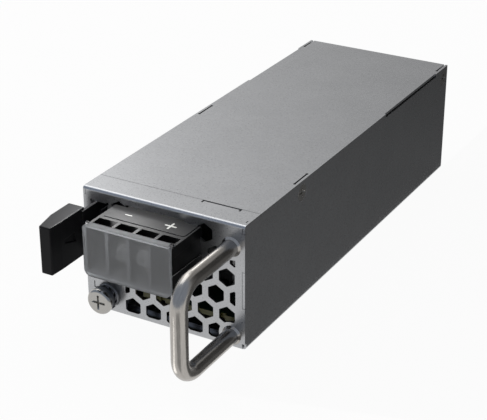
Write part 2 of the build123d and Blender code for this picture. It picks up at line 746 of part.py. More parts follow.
def rivet_hole(x, y):
    return rod((x, y, -FIT), ALONG_Z, RIVET_RADIUS + HOLE_FIT, 2 * SHEET + 2 * FIT)


def tongue_slot():
    """Opening in the left wall that the lever's tongue passes through."""
    y = (TONGUE_FRONT_Y - TONGUE_CLEARANCE, TONGUE_FRONT_Y + TONGUE_LENGTH + TONGUE_CLEARANCE)
    z = (TONGUE_BOTTOM_Z - TONGUE_CLEARANCE / 2, TONGUE_BOTTOM_Z + TONGUE_HEIGHT + TONGUE_CLEARANCE / 2)
    return span((-WIDTH, -INNER_X + FIT), y, z)


def latch_rivet_hole(z):
    start = (-WIDTH, PIVOT_Y, z)
    return rod(start, ALONG_X, LATCH_RIVET_RADIUS + HOLE_FIT, WIDTH)


def top_cover():
    """Lid with a front lip under the flange and four lanced screw tabs."""
    lid = span((-SIDE_X, SIDE_X), (SEAM_Y + SEAM, BACK_Y), (LID_Z, HEIGHT))
    lid += span(
        (-INNER_X + LIP_INSET, INNER_X - LIP_INSET),
        (SEAM_Y - LIP_LENGTH, SEAM_Y + LIP_LENGTH / 2),
        (LID_Z - SHEET, LID_Z),
    )
    lid -= [lid_edge_step(1, RIGHT_RELIEF_Y), lid_edge_step(-1, LEFT_RELIEF_Y)]
    lid -= [lid_slot(side, y) for side, y, _ in LID_SCREWS]
    for side, y, step in LID_SCREWS:
        lid += lid_tab(side, y, step)
    return lid


def lid_edge_step(side, start_y):
    """Strip cut from a long edge of the lid above the lowered wall."""
    x = sorted((side * (SIDE_X - EDGE_RELIEF), side * WIDTH))
    return span(x, (start_y, EDGE_RELIEF_END_Y), (LID_Z - FIT, HEIGHT + FIT))


def lid_slot(side, y):
    """Lanced slot beside a screw tab, with round ends."""
    z = (LID_Z - FIT, HEIGHT + FIT)
    centre_x = side * (INNER_X - LID_SLOT_WIDTH / 2)
    slot = span(around(centre_x, LID_SLOT_WIDTH / 2), around(y, LID_SLOT_HALF), z)
    for end in (-1, 1):
        start = (centre_x, y + end * LID_SLOT_HALF, z[0])
        slot += rod(start, ALONG_Z, LID_SLOT_END / 2, z[1] - z[0])
    return slot


def lid_tab(side, y, step):
    """Turned-down tab that a side screw holds."""
    outer_x = INNER_X - LID_SLOT_WIDTH
    x = sorted((side * (outer_x - SHEET), side * outer_x))
    y_limits = (y - LID_TAB_HALF, min(y + LID_TAB_HALF, BACK_Y - SHEET - 2 * FIT))
    tab = span(x, y_limits, (LID_Z - LID_TAB_DROP, LID_Z))
    hole = rod((side * SIDE_X, y + step, SCREW_Z), (-side, 0, 0), SCREW_RADIUS + HOLE_FIT, SCREW_LENGTH)
    return tab - hole


def flush_screw(start, direction, length):
    """Countersunk screw whose head lies flush at start."""
    screw = cone(start, direction, SCREW_HEAD_RADIUS, SCREW_RADIUS, SCREW_HEAD_DEPTH)
    screw += rod(start, direction, SCREW_RADIUS, length)
    return screw - cross_recess(start, direction, SCREW_HEAD_RADIUS * RECESS_SPREAD, RECESS_DEPTH)


def countersink(start, direction, depth):
    """Cutter for a countersunk head and its clearance hole, as deep as a sheet or deeper."""
    slope = (SCREW_HEAD_RADIUS - SCREW_RADIUS) / SCREW_HEAD_DEPTH
    sunk = min(depth, SCREW_HEAD_DEPTH)
    wide = SCREW_HEAD_RADIUS + HOLE_FIT
    cut = cone(start, direction, wide, wide - slope * sunk, sunk)
    return cut + rod(start, direction, SCREW_RADIUS + HOLE_FIT, depth)


def cover_screws():
    screws = []
    for side, y, step in LID_SCREWS:
        screws.append(flush_screw((side * SIDE_X, y + step, SCREW_Z), (-side, 0, 0), LID_SCREW_LENGTH))
    return group(screws)


def case_rivets():
    """Rivets that hold the front and rear panels' lower flanges."""
    rows = (SEAM_Y - RIVET_SETBACK, BACK_Y - REAR_FLANGE + RIVET_SETBACK)
    rivets = []
    for y in rows:
        for x in rivet_columns():
            rivet = rod((x, y, 0), ALONG_Z, RIVET_RADIUS, 2 * SHEET)
            rivet += rod((x, y, 2 * SHEET), ALONG_Z, RIVET_HEAD_RADIUS, RIVET_HEAD_DEPTH)
            rivets.append(rivet)
    return group(rivets)


# Pull handle


def pull_handle():
    """Round bar bent into a loop, with a threaded stud at each end."""
    out_y = FRONT_Y - HANDLE_REACH
    corners = (
        (HANDLE_X, FRONT_Y, HANDLE_TOP_Z),
        (HANDLE_X, out_y, HANDLE_TOP_Z),
        (HANDLE_X, out_y, HANDLE_BOTTOM_Z),
        (HANDLE_X, FRONT_Y, HANDLE_BOTTOM_Z),
    )
    path = FilletPolyline(*corners, radius=HANDLE_BEND)
    handle = sweep(Plane(origin=corners[0], z_dir=TOWARDS_FRONT) * Circle(HANDLE_RADIUS), path)
    for z in (HANDLE_TOP_Z, HANDLE_BOTTOM_Z):
        root = (HANDLE_X, FRONT_Y, z)
        handle += cone(root, TOWARDS_FRONT, HANDLE_RADIUS + HANDLE_FLARE, HANDLE_RADIUS, HANDLE_FLARE)
        handle += rod(root, ALONG_Y, HANDLE_STUD_RADIUS, HANDLE_STUD_LENGTH)
    return handle


def handle_nuts():
    nuts = []
    for z in (HANDLE_TOP_Z, HANDLE_BOTTOM_Z):
        face = Pos(HANDLE_X, z) * RegularPolygon(NUT_ACROSS / 2, 6, major_radius=False)
        face -= Pos(HANDLE_X, z) * Circle(HANDLE_STUD_RADIUS + HOLE_FIT)
        nuts.append(extrude(upright(PANEL_BACK_Y + NUT_HEIGHT) * face, NUT_HEIGHT))
    return group(nuts)


# Terminal block


def terminal_housing():
    """Moulded block of open cells with a grooved top and hinge ears."""
    body_x = (BLOCK_LEFT_X, BLOCK_RIGHT_X)
    housing = span(body_x, (BLOCK_FRONT_Y, FRONT_Y), (BLOCK_BOTTOM_Z, BLOCK_TOP_Z))
    for index in range(CELL_COUNT):
        cell_z = (BLOCK_BOTTOM_Z + CELL_FLOOR, HEIGHT)
        housing -= span(cell_limits(index), (BLOCK_FRONT_Y - FIT, CELL_BACK_Y), cell_z)
    housing += locating_ledge()
    housing -= [end_recess(x) for x in body_x]
    housing -= label_groove()
    housing -= [terminal_pocket(cell_centre(index)) for index in TERMINAL_CELLS]
    for index in SPARE_CELLS:
        start = (cell_centre(index), FRONT_Y + FIT, TERMINAL_Z)
        housing -= rod(start, TOWARDS_FRONT, BLOCK_SCREW_RADIUS + HOLE_FIT, BLOCK_SCREW_LENGTH + FIT)
    for x in (BLOCK_LEFT_X, BLOCK_RIGHT_X - END_WALL):
        housing += hinge_ear(x)
    return housing


def locating_ledge():
    """Ledge on the block's back that sits in the front's opening."""
    left = BLOCK_LEFT_X + WINDOW_LEFT_INSET + LEDGE_GAP
    low = BLOCK_TOP_Z + WINDOW_OVER_TOP - WINDOW_HEIGHT + LEDGE_GAP
    x = (left, left + WINDOW_WIDTH - 2 * LEDGE_GAP)
    return span(x, (FRONT_Y - FIT, FRONT_Y + LEDGE_DEPTH), (low, BLOCK_TOP_Z - LEDGE_DROP))


def end_recess(x):
    """Shallow band sunk in an end face."""
    z = (BLOCK_BOTTOM_Z + END_RECESS_LOW, BLOCK_BOTTOM_Z + END_RECESS_HIGH)
    return span(around(x, END_RECESS), (BLOCK_FRONT_Y - FIT, FRONT_Y + FIT), z)


def label_groove():
    """Groove along the front and right of the flat top, with a round corner."""
    front = CELL_BACK_Y + LABEL_SETBACK
    left = BLOCK_LEFT_X + LABEL_LEFT_INSET
    right = BLOCK_RIGHT_X - LABEL_RIGHT_INSET
    line = FilletPolyline((left, front), (right, front), (right, FRONT_Y + FIT), radius=LABEL_CORNER)
    groove = trace(line, line_width=LABEL_GROOVE)
    return extrude(Plane.XY.offset(BLOCK_TOP_Z - LABEL_GROOVE_DEPTH) * groove, LABEL_GROOVE_DEPTH + FIT)


def terminal_pocket(x):
    """Room for one terminal's screw and for the bar's tail behind its cell."""
    shank = rod((x, CELL_BACK_Y - FIT, TERMINAL_Z), ALONG_Y, TERMINAL_RADIUS + HOLE_FIT, TERMINAL_SHANK)
    z = (BLOCK_BOTTOM_Z + BAR_LOW - FIT, BLOCK_BOTTOM_Z + BAR_LOW + BAR_THICK + FIT)
    tail = span(around(x, BAR_WIDTH / 2 + FIT), (CELL_BACK_Y - FIT, FRONT_Y + FIT), z)
    return shank + tail


def hinge_ear(x):
    """Ear on an end wall that carries the cover's pin."""
    ear = rod((x, HINGE_Y, HINGE_Z), ALONG_X, EAR_RADIUS, END_WALL)
    ear += span((x, x + END_WALL), around(HINGE_Y, EAR_RADIUS), (BLOCK_TOP_Z - FIT, HINGE_Z))
    return ear - rod((x - FIT, HINGE_Y, HINGE_Z), ALONG_X, HINGE_PIN_RADIUS + HOLE_FIT, END_WALL + 2 * FIT)


def terminal_cover():
    """See-through flap with a top lip, a hinge barrel and a short rim at its foot."""
    x = (BLOCK_LEFT_X, BLOCK_RIGHT_X)
    under_lip = BLOCK_TOP_Z + HOLE_FIT
    top = under_lip + COVER_LIP_THICK
    bottom = BLOCK_BOTTOM_Z - COVER_DROP
    plate = span(x, (COVER_FRONT_Y, COVER_FRONT_Y + COVER_THICK), (bottom, top))
    uprights = plate.edges().filter_by(Axis.Y)
    plate = fillet(uprights.group_by(Axis.Z)[0], COVER_CORNER)
    plate = fillet(plate.edges().filter_by(Axis.Y).group_by(Axis.Z)[-1], COVER_TOP_CORNER)
    rim_x = (x[0] + COVER_CORNER, x[1] - COVER_CORNER)
    plate += span(rim_x, (COVER_FRONT_Y, COVER_FRONT_Y + COVER_RIM_DEPTH), (bottom, bottom + COVER_RIM_THICK))
    ear_front = HINGE_Y - EAR_RADIUS - EAR_CLEARANCE
    lip_x = (x[0] + COVER_TOP_CORNER, x[1] - COVER_TOP_CORNER)
    plate += span(lip_x, (COVER_FRONT_Y, ear_front), (under_lip, top))
    inner = (x[0] + END_WALL + EAR_CLEARANCE, x[1] - END_WALL - EAR_CLEARANCE)
    plate += span(inner, (ear_front, HINGE_Y), (under_lip, top))
    plate += rod((inner[0], HINGE_Y, HINGE_Z), ALONG_X, HINGE_RADIUS, inner[1] - inner[0])
    pin_start = x[0] - PIN_PROUD
    plate += rod((pin_start, HINGE_Y, HINGE_Z), ALONG_X, HINGE_PIN_RADIUS, BLOCK_WIDTH + 2 * PIN_PROUD)
    return plate


def terminal_clamps():
    """Square pressure plates under the terminal screws."""
    plates = []
    for index in TERMINAL_CELLS:
        x = cell_centre(index)
        y = (CLAMP_FRONT_Y, CLAMP_FRONT_Y + CLAMP_THICK)
        plate = span(around(x, CLAMP_SIZE / 2), y, around(TERMINAL_Z, CLAMP_SIZE / 2))
        start = (x, CLAMP_FRONT_Y - FIT, TERMINAL_Z)
        hole = rod(start, ALONG_Y, TERMINAL_RADIUS + HOLE_FIT, CLAMP_THICK + 2 * FIT)
        plates.append(plate - hole)
    return group(plates)


def output_busbars():
    """Bent bars from the terminals through the front and down to the board."""
    bars = []
    low = BLOCK_BOTTOM_Z + BAR_LOW
    leg_y = PANEL_BACK_Y + BAR_LEG_SETBACK
    for index in TERMINAL_CELLS:
        x = around(cell_centre(index), BAR_WIDTH / 2)
        bar = span(x, (BAR_FRONT_Y, BAR_FRONT_Y + BAR_THICK), (low, BLOCK_BOTTOM_Z + BAR_HIGH))
        bar += span(x, (BAR_FRONT_Y, leg_y + BAR_THICK), (low, low + BAR_THICK))
        bar += span(x, (leg_y, leg_y + BAR_THICK), (BOARD_TOP_Z, low + BAR_THICK))
        bar += span(x, (leg_y, leg_y + BAR_FOOT), (BOARD_TOP_Z, BOARD_TOP_Z + BAR_THICK))
        hole_start = (cell_centre(index), BAR_FRONT_Y - FIT, TERMINAL_Z)
        bars.append(bar - rod(hole_start, ALONG_Y, TERMINAL_RADIUS + HOLE_FIT, BAR_THICK + 2 * FIT))
    return group(bars)


def terminal_screw(index):
    """Pan head terminal screw of one cell."""
    under = (cell_centre(index), TERMINAL_UNDER_Y, TERMINAL_Z)
    head = rod(under, TOWARDS_FRONT, TERMINAL_HEAD_RADIUS, TERMINAL_HEAD_DEPTH)
    head = fillet(head.edges().group_by(Axis.Y)[0], TERMINAL_HEAD_DEPTH / 3)
    face = (under[0], TERMINAL_UNDER_Y - TERMINAL_HEAD_DEPTH, TERMINAL_Z)
    head -= cross_recess(face, ALONG_Y, TERMINAL_HEAD_RADIUS * RECESS_SPREAD, RECESS_DEPTH)
    return head + rod(under, ALONG_Y, TERMINAL_RADIUS, TERMINAL_SHANK)


def block_screws():
    """Screws that hold the block from behind the front."""
    screws = []
    for index in SPARE_CELLS:
        under = (cell_centre(index), PANEL_BACK_Y, TERMINAL_Z)
        screw = rod(under, ALONG_Y, BLOCK_SCREW_HEAD, BLOCK_SCREW_HEAD_DEPTH)
        screw += rod(under, TOWARDS_FRONT, BLOCK_SCREW_RADIUS, BLOCK_SCREW_LENGTH)
        screws.append(screw)
    return group(screws)


# Earth screw


def earth_insert():
    """Threaded insert clinched into the front."""
    insert = rod((EARTH_X, FRONT_Y, EARTH_Z), TOWARDS_FRONT, INSERT_FLANGE_RADIUS, INSERT_FLANGE)
    insert += rod((EARTH_X, FRONT_Y, EARTH_Z), ALONG_Y, INSERT_BARREL_RADIUS, SHEET + INSERT_BARREL)
    bore = rod(
        (EARTH_X, FRONT_Y - INSERT_FLANGE - FIT, EARTH_Z),
        ALONG_Y,
        EARTH_RADIUS + HOLE_FIT,
        INSERT_FLANGE + SHEET + INSERT_BARREL + 2 * FIT,
    )
    return insert - bore


def lock_washer_y():
    return FRONT_Y - INSERT_FLANGE - WASHER_GAP


def earth_head_y():
    return lock_washer_y() - LOCK_WASHER_THICK - CUP_WASHER_THICK - HOLE_FIT


def earth_lock_washer():
    """Toothed ring with twisted outer teeth."""
    back = (EARTH_X, lock_washer_y(), EARTH_Z)
    washer = rod(back, TOWARDS_FRONT, LOCK_WASHER_RADIUS, LOCK_WASHER_THICK)
    washer -= rod(back, TOWARDS_FRONT, EARTH_RADIUS + HOLE_FIT, LOCK_WASHER_THICK + FIT)
    slot_length = LOCK_WASHER_RADIUS - LOCK_WASHER_ROOT + FIT
    slot = Pos(LOCK_WASHER_ROOT + slot_length / 2, 0, 0)
    slot *= Rot(35, 0, 0) * Box(slot_length, LOCK_WASHER_SLOT, 3 * LOCK_WASHER_THICK)
    middle = Plane(origin=(EARTH_X, back[1] - LOCK_WASHER_THICK / 2, EARTH_Z), z_dir=TOWARDS_FRONT)
    for tooth in range(LOCK_WASHER_TEETH):
        washer -= middle * (Rot(0, 0, tooth * 360 / LOCK_WASHER_TEETH) * slot)
    return washer


def earth_cup_washer():
    """Thick plain washer under the earth screw's head."""
    back = (EARTH_X, lock_washer_y() - LOCK_WASHER_THICK, EARTH_Z)
    washer = rod(back, TOWARDS_FRONT, CUP_WASHER_RADIUS, CUP_WASHER_THICK)
    return washer - rod(back, TOWARDS_FRONT, EARTH_RADIUS + HOLE_FIT, CUP_WASHER_THICK + FIT)


def earth_screw():
    """Pan head screw turned from one profile, with a cross recess."""
    depth = EARTH_HEAD_SIDE + EARTH_HEAD_DOME
    edge = (EARTH_HEAD_RADIUS, EARTH_HEAD_SIDE)
    face = (EARTH_FACE_RADIUS, depth)
    profile = Polyline((0, depth), (0, 0), (EARTH_HEAD_RADIUS, 0), edge)
    profile += TangentArc(edge, face, tangent=(0, 1))
    profile += Line(face, (0, depth))
    base = Plane(origin=(EARTH_X, earth_head_y(), EARTH_Z), x_dir=ALONG_X, z_dir=ALONG_Z)
    flipped = Plane(origin=base.origin, x_dir=ALONG_X, z_dir=(0, 0, -1))
    head = revolve(flipped * make_face(profile), Axis(base.origin, ALONG_Y))
    under = (EARTH_X, earth_head_y(), EARTH_Z)
    top = (EARTH_X, earth_head_y() - depth, EARTH_Z)
    head -= cross_recess(top, ALONG_Y, EARTH_FACE_RADIUS * 0.8, RECESS_DEPTH)
    return head + rod(under, ALONG_Y, EARTH_RADIUS, EARTH_SHANK)


# Release lever


def latch_outline():
    """Plan view of the finger pad."""
    shoulder_y = LATCH_BACK_Y - LATCH_SHOULDER
    facet_y = LATCH_BACK_Y - LATCH_FACET
    return (
        (LATCH_LEFT_X, LATCH_BACK_Y),
        (LATCH_LEFT_X, shoulder_y),
        (LATCH_LEFT_X + LATCH_NOSE_LEFT_INSET, LATCH_FRONT_Y),
        (LATCH_RIGHT_X - LATCH_NOSE_RIGHT_INSET, LATCH_FRONT_Y),
        (LATCH_RIGHT_X, facet_y),
        (LATCH_RIGHT_X, LATCH_BACK_Y),
    )


def wedge_recess():
    """Shallow wedge-shaped recess in the pad's right face."""
    back = LATCH_BACK_Y - WEDGE_SETBACK
    front = back - WEDGE_LENGTH
    top = LATCH_TOP_Z - WEDGE_TOP_DROP
    nose_top = top - WEDGE_NOSE_DROP
    outline = ((back, top), (back + WEDGE_SLANT, top - WEDGE_BACK_HEIGHT))
    outline += ((front, nose_top - WEDGE_NOSE_HEIGHT), (front, nose_top))
    return prism(Plane.YZ.offset(LATCH_RIGHT_X - WEDGE_DEPTH), outline, WEDGE_DEPTH + FIT)


def latch_lever():
    """Finger pad, arm, pivot boss and locking tongue moulded in one piece."""
    pad = prism(Plane.XY.offset(LATCH_BOTTOM_Z), latch_outline(), LATCH_TOP_Z - LATCH_BOTTOM_Z)
    pad = fillet(pad.edges(), LATCH_EDGE)
    pad -= wedge_recess()
    arm_z = (LATCH_BOTTOM_Z + ARM_BOTTOM_RISE, LATCH_TOP_Z - ARM_TOP_DROP)
    boss_z = (arm_z[0], arm_z[1] - BOSS_TOP_DROP)
    thick_y = PANEL_BACK_Y + ARM_THICK
    thin = span((ARM_LEFT_X, ARM_LEFT_X + ARM_THIN), (LATCH_BACK_Y - ARM_THICK, PIVOT_Y), arm_z)
    thick = span((ARM_LEFT_X, ARM_LEFT_X + ARM_THICK), (thick_y, PIVOT_Y), boss_z)
    boss = rod((PIVOT_X, PIVOT_Y, boss_z[0]), ALONG_Z, BOSS_RADIUS, boss_z[1] - boss_z[0])
    thin -= span((-WIDTH, 0), (PIVOT_Y - BOSS_RADIUS - SPRING_WIRE, BACK_Y), (boss_z[1], HEIGHT))
    lever = pad + thin + thick + boss + tongue()
    return lever - rod((PIVOT_X, PIVOT_Y, 0), ALONG_Z, PIVOT_RADIUS + HOLE_FIT, HEIGHT)


def tongue():
    """Locking tongue, square to the front and ramped to the rear."""
    tip_x = -SIDE_X - TONGUE_PROUD
    front = TONGUE_FRONT_Y
    rear = front + TONGUE_LENGTH
    outline = ((ARM_LEFT_X + ARM_THIN, front), (tip_x, front), (tip_x, front + TONGUE_LENGTH / 4))
    outline += ((-SIDE_X + FIT, rear), (ARM_LEFT_X + ARM_THIN, rear))
    return prism(Plane.XY.offset(TONGUE_BOTTOM_Z), outline, TONGUE_HEIGHT)


def latch_bracket():
    """Folded bracket on the left wall whose two ears carry the pivot pin."""
    y = around(PIVOT_Y, BRACKET_HALF)
    bracket = span((-INNER_X, BRACKET_PLATE_X), y, (BRACKET_BOTTOM_Z, BRACKET_TOP_Z))
    for z in (BRACKET_BOTTOM_Z, BRACKET_TOP_Z - SHEET):
        bracket += span((-INNER_X, BRACKET_RIGHT_X), y, (z, z + SHEET))
    bracket -= rod((PIVOT_X, PIVOT_Y, 0), ALONG_Z, PIVOT_RADIUS + HOLE_FIT, HEIGHT)
    for z in LATCH_RIVET_ZONES:
        bracket -= rod((-SIDE_X, PIVOT_Y, z), ALONG_X, LATCH_RIVET_RADIUS + HOLE_FIT, 2 * SHEET + FIT)
    return bracket


def latch_pin():
    """Pivot pin with a small head on the upper ear."""
    bottom = BRACKET_BOTTOM_Z - SHEET
    pin = rod((PIVOT_X, PIVOT_Y, bottom), ALONG_Z, PIVOT_RADIUS, BRACKET_TOP_Z - bottom)
    return pin + rod((PIVOT_X, PIVOT_Y, BRACKET_TOP_Z), ALONG_Z, 1.6 * PIVOT_RADIUS, SHEET / 2)


def latch_spring():
    """Torsion spring round the pin above the boss, one leg on the lever's arm and one on the bracket."""
    start_z = LATCH_TOP_Z - ARM_TOP_DROP - BOSS_TOP_DROP + SPRING_RISE
    turns = SPRING_TURNS + (SPRING_END_ANGLE - SPRING_START_ANGLE) / 360
    place = Pos(PIVOT_X, PIVOT_Y, start_z) * Rot(0, 0, SPRING_START_ANGLE)
    coil = place * Helix(SPRING_PITCH, turns * SPRING_PITCH, SPRING_RADIUS)
    arm_x = ARM_LEFT_X + ARM_THIN + SPRING_WIRE / 2 + HOLE_FIT
    plate_x = BRACKET_PLATE_X + SPRING_WIRE / 2 + HOLE_FIT
    first = leg_end(coil @ 0, coil % 0, arm_x)
    last = leg_end(coil @ 1, coil % 1, plate_x)
    path = Wire([Edge.make_line(first, coil @ 0), *coil.edges(), Edge.make_line(coil @ 1, last)])
    return sweep(Plane(origin=first, z_dir=path % 0) * Circle(SPRING_WIRE / 2), path)


def leg_end(start, way, x):
    """Point at x on the straight leg that leaves the coil at start along way."""
    return start + way * ((x - start.X) / way.X)


def latch_rivets():
    """Flush rivets that hold the bracket to the left wall."""
    rivets = []
    for z in LATCH_RIVET_ZONES:
        rivet = rod((-SIDE_X, PIVOT_Y, z), ALONG_X, LATCH_RIVET_RADIUS, 2 * SHEET)
        rivet += rod((BRACKET_PLATE_X, PIVOT_Y, z), ALONG_X, LATCH_RIVET_HEAD, LATCH_RIVET_HEAD_DEPTH)
        rivets.append(rivet)
    return group(rivets)


# Circuit board


def main_pcb():
    """Board with a tongue beside the fan, a cut corner and small edge bites."""
    z = (BOARD_Z, BOARD_TOP_Z)
    board = span((-BOARD_X, BOARD_X), (BOARD_FRONT_Y, BOARD_REAR_Y), z)
    board += span((BOARD_TONGUE_X, BOARD_X), (BOARD_FRONT_Y, BOARD_TONGUE_Y), z)
    board -= span((-WIDTH, BOARD_NOTCH_X), (-LENGTH, BOARD_NOTCH_Y), (0, HEIGHT))
    for x in EDGE_BITES:
        board -= span(around(x, EDGE_BITE_WIDTH / 2), around(BOARD_FRONT_Y, EDGE_BITE_DEPTH), (0, HEIGHT))
    for x, y in BOARD_SCREWS:
        board -= rod((x, y, 0), ALONG_Z, SCREW_RADIUS + HOLE_FIT, HEIGHT)
    return board


def insulation_sheet():
    """Thin film between the floor and the board."""
    x = INNER_X - FILM_INSET
    y = (SEAM_Y + LIP_LENGTH / 2 + FILM_INSET, BOARD_REAR_Y - FILM_REAR_GAP)
    film = span((-x, x), y, (SHEET, SHEET + FILM_THICK))
    for screw_x, screw_y in BOARD_SCREWS:
        film -= rod((screw_x, screw_y, 0), ALONG_Z, FILM_HOLE, HEIGHT)
    return film


def pcb_standoffs():
    """Press-in pillars for the board."""
    pillars = []
    for x, y in BOARD_SCREWS:
        pillar = rod((x, y, SHEET), ALONG_Z, STANDOFF_RADIUS, STANDOFF_HEIGHT)
        pillar += rod((x, y, 0), ALONG_Z, STANDOFF_SPIGOT, SHEET)
        start = (x, y, BOARD_Z - BOARD_SCREW_DEPTH)
        pillars.append(pillar - rod(start, ALONG_Z, SCREW_RADIUS + HOLE_FIT, BOARD_SCREW_DEPTH + FIT))
    return group(pillars)


def pcb_screws():
    screws = []
    for x, y in BOARD_SCREWS:
        start = (x, y, BOARD_Z - BOARD_SCREW_DEPTH + FIT)
        screw = rod(start, ALONG_Z, SCREW_RADIUS, BOARD_SCREW_DEPTH - FIT + BOARD_THICK)
        head = rod((x, y, BOARD_TOP_Z), ALONG_Z, BOARD_SCREW_HEAD, BOARD_SCREW_HEAD_DEPTH)
        screws.append(screw + fillet(head.edges().group_by(Axis.Z)[-1], BOARD_SCREW_HEAD_DEPTH / 3))
    return group(screws)


# Parts on the board


def heat_sink(start_y, length):
    """Extruded heat sink, its fins running along the air stream."""
    y = (start_y, start_y + length)
    plate = span((SINK_X, SINK_X + SINK_PLATE), y, (BOARD_TOP_Z, BOARD_TOP_Z + SINK_HEIGHT))
    pitch = (SINK_HEIGHT - FIN_THICK) / (FIN_COUNT - 1)
    for fin in range(FIN_COUNT):
        low = BOARD_TOP_Z + fin * pitch
        plate += span((SINK_X, SINK_X + SINK_WIDTH), y, (low, low + FIN_THICK))
    return plate


def clipped_packages(start_y, length, count, body):
    """Flat power packages against a heat sink's plate, each with three leads to the board."""
    thick, width, height = body
    packages = []
    for index in range(count):
        y = start_y + (index + 0.5) * length / count
        low = BOARD_TOP_Z + LEAD_LENGTH
        package = span((SINK_X - thick, SINK_X), around(y, width / 2), (low, low + height))
        lead_x = SINK_X - thick / 2
        for lead in (-1, 0, 1):
            lead_y = around(y + lead * width / 3, LEAD_WIDTH / 2)
            package += span(around(lead_x, LEAD_THICK / 2), lead_y, (BOARD_TOP_Z, low))
        packages.append(package)
    return group(packages)


def can(x, y, radius, height):
    """Electrolytic capacitor with a rounded top and a rolled groove near its foot."""
    body = rod((x, y, BOARD_TOP_Z), ALONG_Z, radius, height)
    body = fillet(body.edges().group_by(Axis.Z)[-1], CAN_TOP_ROUND)
    ring = Pos(x, y, BOARD_TOP_Z + CAN_GROOVE_DROP) * Torus(radius + CAN_GROOVE / 2, CAN_GROOVE)
    return body - ring


def output_capacitors():
    rows = range(OUTPUT_CAN_COUNT)
    places = [OUTPUT_CAN_Y + row * OUTPUT_CAN_PITCH for row in rows]
    return group([can(OUTPUT_CAN_X, y, OUTPUT_CAN_RADIUS, OUTPUT_CAN_HEIGHT) for y in places])


def bulk_capacitors():
    return group([can(BULK_X, y, BULK_RADIUS, BULK_HEIGHT) for y in (BULK_Y, BULK_Y + BULK_PITCH)])


def output_choke():
    """Moulded square inductor with rounded uprights."""
    half = OUTPUT_CHOKE_SIZE / 2
    z = (BOARD_TOP_Z, BOARD_TOP_Z + OUTPUT_CHOKE_HEIGHT)
    choke = span(around(OUTPUT_CHOKE_X, half), around(OUTPUT_CHOKE_Y, half), z)
    return fillet(choke.edges().filter_by(Axis.Z), OUTPUT_CHOKE_SIZE / 7)


def control_board():
    y = (CONTROL_Y, CONTROL_Y + CONTROL_THICK)
    return span(around(OUTPUT_CHOKE_X, CONTROL_WIDTH / 2), y, (BOARD_TOP_Z, BOARD_TOP_Z + CONTROL_HEIGHT))


def control_chips():
    """Chips on the front of the control board, each as width, height and rise above the main board."""
    chips = []
    for width, height, rise in CHIP_SIZES:
        z = around(BOARD_TOP_Z + rise, height / 2)
        chips.append(span(around(OUTPUT_CHOKE_X, width / 2), (CONTROL_Y - CHIP_THICK, CONTROL_Y), z))
    return group(chips)


def transformer_base_z():
    return BOARD_TOP_Z + BOBBIN_BASE


def transformer_core():
    """Ferrite core with two windows either side of its middle leg."""
    low = transformer_base_z()
    core = span(around(CORE_X, CORE_WIDTH / 2), around(CORE_Y, CORE_DEPTH / 2), (low, low + CORE_HEIGHT))
    window_z = (low + CORE_YOKE, low + CORE_HEIGHT - CORE_YOKE)
    for side in (-1, 1):
        centre = CORE_X + side * (CORE_LEG + CORE_WINDOW) / 2
        core -= span(around(centre, CORE_WINDOW / 2), around(CORE_Y, CORE_DEPTH), window_z)
    return core


def transformer_bobbin():
    """Bobbin with a base, a tube round the middle leg and two flanges."""
    low = transformer_base_z()
    bottom = low + CORE_YOKE + HOLE_FIT
    top = low + CORE_HEIGHT - CORE_YOKE - HOLE_FIT
    flange_x = around(CORE_X, CORE_LEG / 2 + CORE_WINDOW - 2 * FIT)
    flange_y = around(CORE_Y, CORE_DEPTH / 2 + BOBBIN_OVERHANG)
    bobbin = span(flange_x, flange_y, (bottom, bottom + BOBBIN_WALL))
    bobbin += span(flange_x, flange_y, (top - BOBBIN_WALL, top))
    tube_x = around(CORE_X, CORE_LEG / 2 + FIT + BOBBIN_WALL)
    tube_y = around(CORE_Y, CORE_DEPTH / 2 + FIT + BOBBIN_WALL)
    bobbin += span(tube_x, tube_y, (bottom, top))
    bobbin -= span(around(CORE_X, CORE_LEG / 2 + FIT), around(CORE_Y, CORE_DEPTH / 2 + FIT), (0, HEIGHT))
    base = span(flange_x, flange_y, (BOARD_TOP_Z, low))
    for side in (-1, 1):
        post_y = sorted((CORE_Y + side * (CORE_DEPTH / 2 + FIT), flange_y[0] if side < 0 else flange_y[1]))
        base += span(around(CORE_X, CORE_LEG / 2), post_y, (low, bottom))
    return bobbin + base


def transformer_winding():
    """Wound and taped coil between the bobbin's flanges."""
    low = transformer_base_z() + CORE_YOKE + HOLE_FIT + BOBBIN_WALL
    high = transformer_base_z() + CORE_HEIGHT - CORE_YOKE - HOLE_FIT - BOBBIN_WALL
    x = around(CORE_X, CORE_LEG / 2 + CORE_WINDOW - 2 * FIT - WINDING_INSET)
    y = around(CORE_Y, CORE_DEPTH / 2 + BOBBIN_OVERHANG - WINDING_INSET)
    coil = span(x, y, (low, high))
    coil = fillet(coil.edges().filter_by(Axis.Z), BOBBIN_OVERHANG / 2)
    inner_x = around(CORE_X, CORE_LEG / 2 + 2 * FIT + BOBBIN_WALL)
    inner_y = around(CORE_Y, CORE_DEPTH / 2 + 2 * FIT + BOBBIN_WALL)
    return coil - span(inner_x, inner_y, (0, HEIGHT))


def ring_core(x, y, radius, hole, thick, axis):
    """Ring core standing on its edge, a wire's thickness above the board."""
    z = BOARD_TOP_Z + WIRE + FIT + radius
    start = Vector(x, y, z) - Vector(*axis) * (thick / 2)
    return rod(start, axis, radius, thick) - rod(start, axis, hole, thick)


def ring_winding(x, y, radius, hole, thick, axis, turns):
    """Square loops of wire set evenly round a ring core."""
    z = BOARD_TOP_Z + WIRE + FIT + radius
    middle = Plane(origin=(x, y, z), z_dir=axis)
    loops = []
    centre = (radius + hole) / 2
    ring = radius - hole + 2 * FIT
    for turn in range(turns):
        loop = Box(ring + 2 * WIRE, WIRE, thick + 2 * FIT + 2 * WIRE) - Box(ring, WIRE, thick + 2 * FIT)
        loops.append(middle * (Rot(0, 0, (turn + 0.5) * 360 / turns) * Pos(centre, 0, 0) * loop))
    return group(loops)


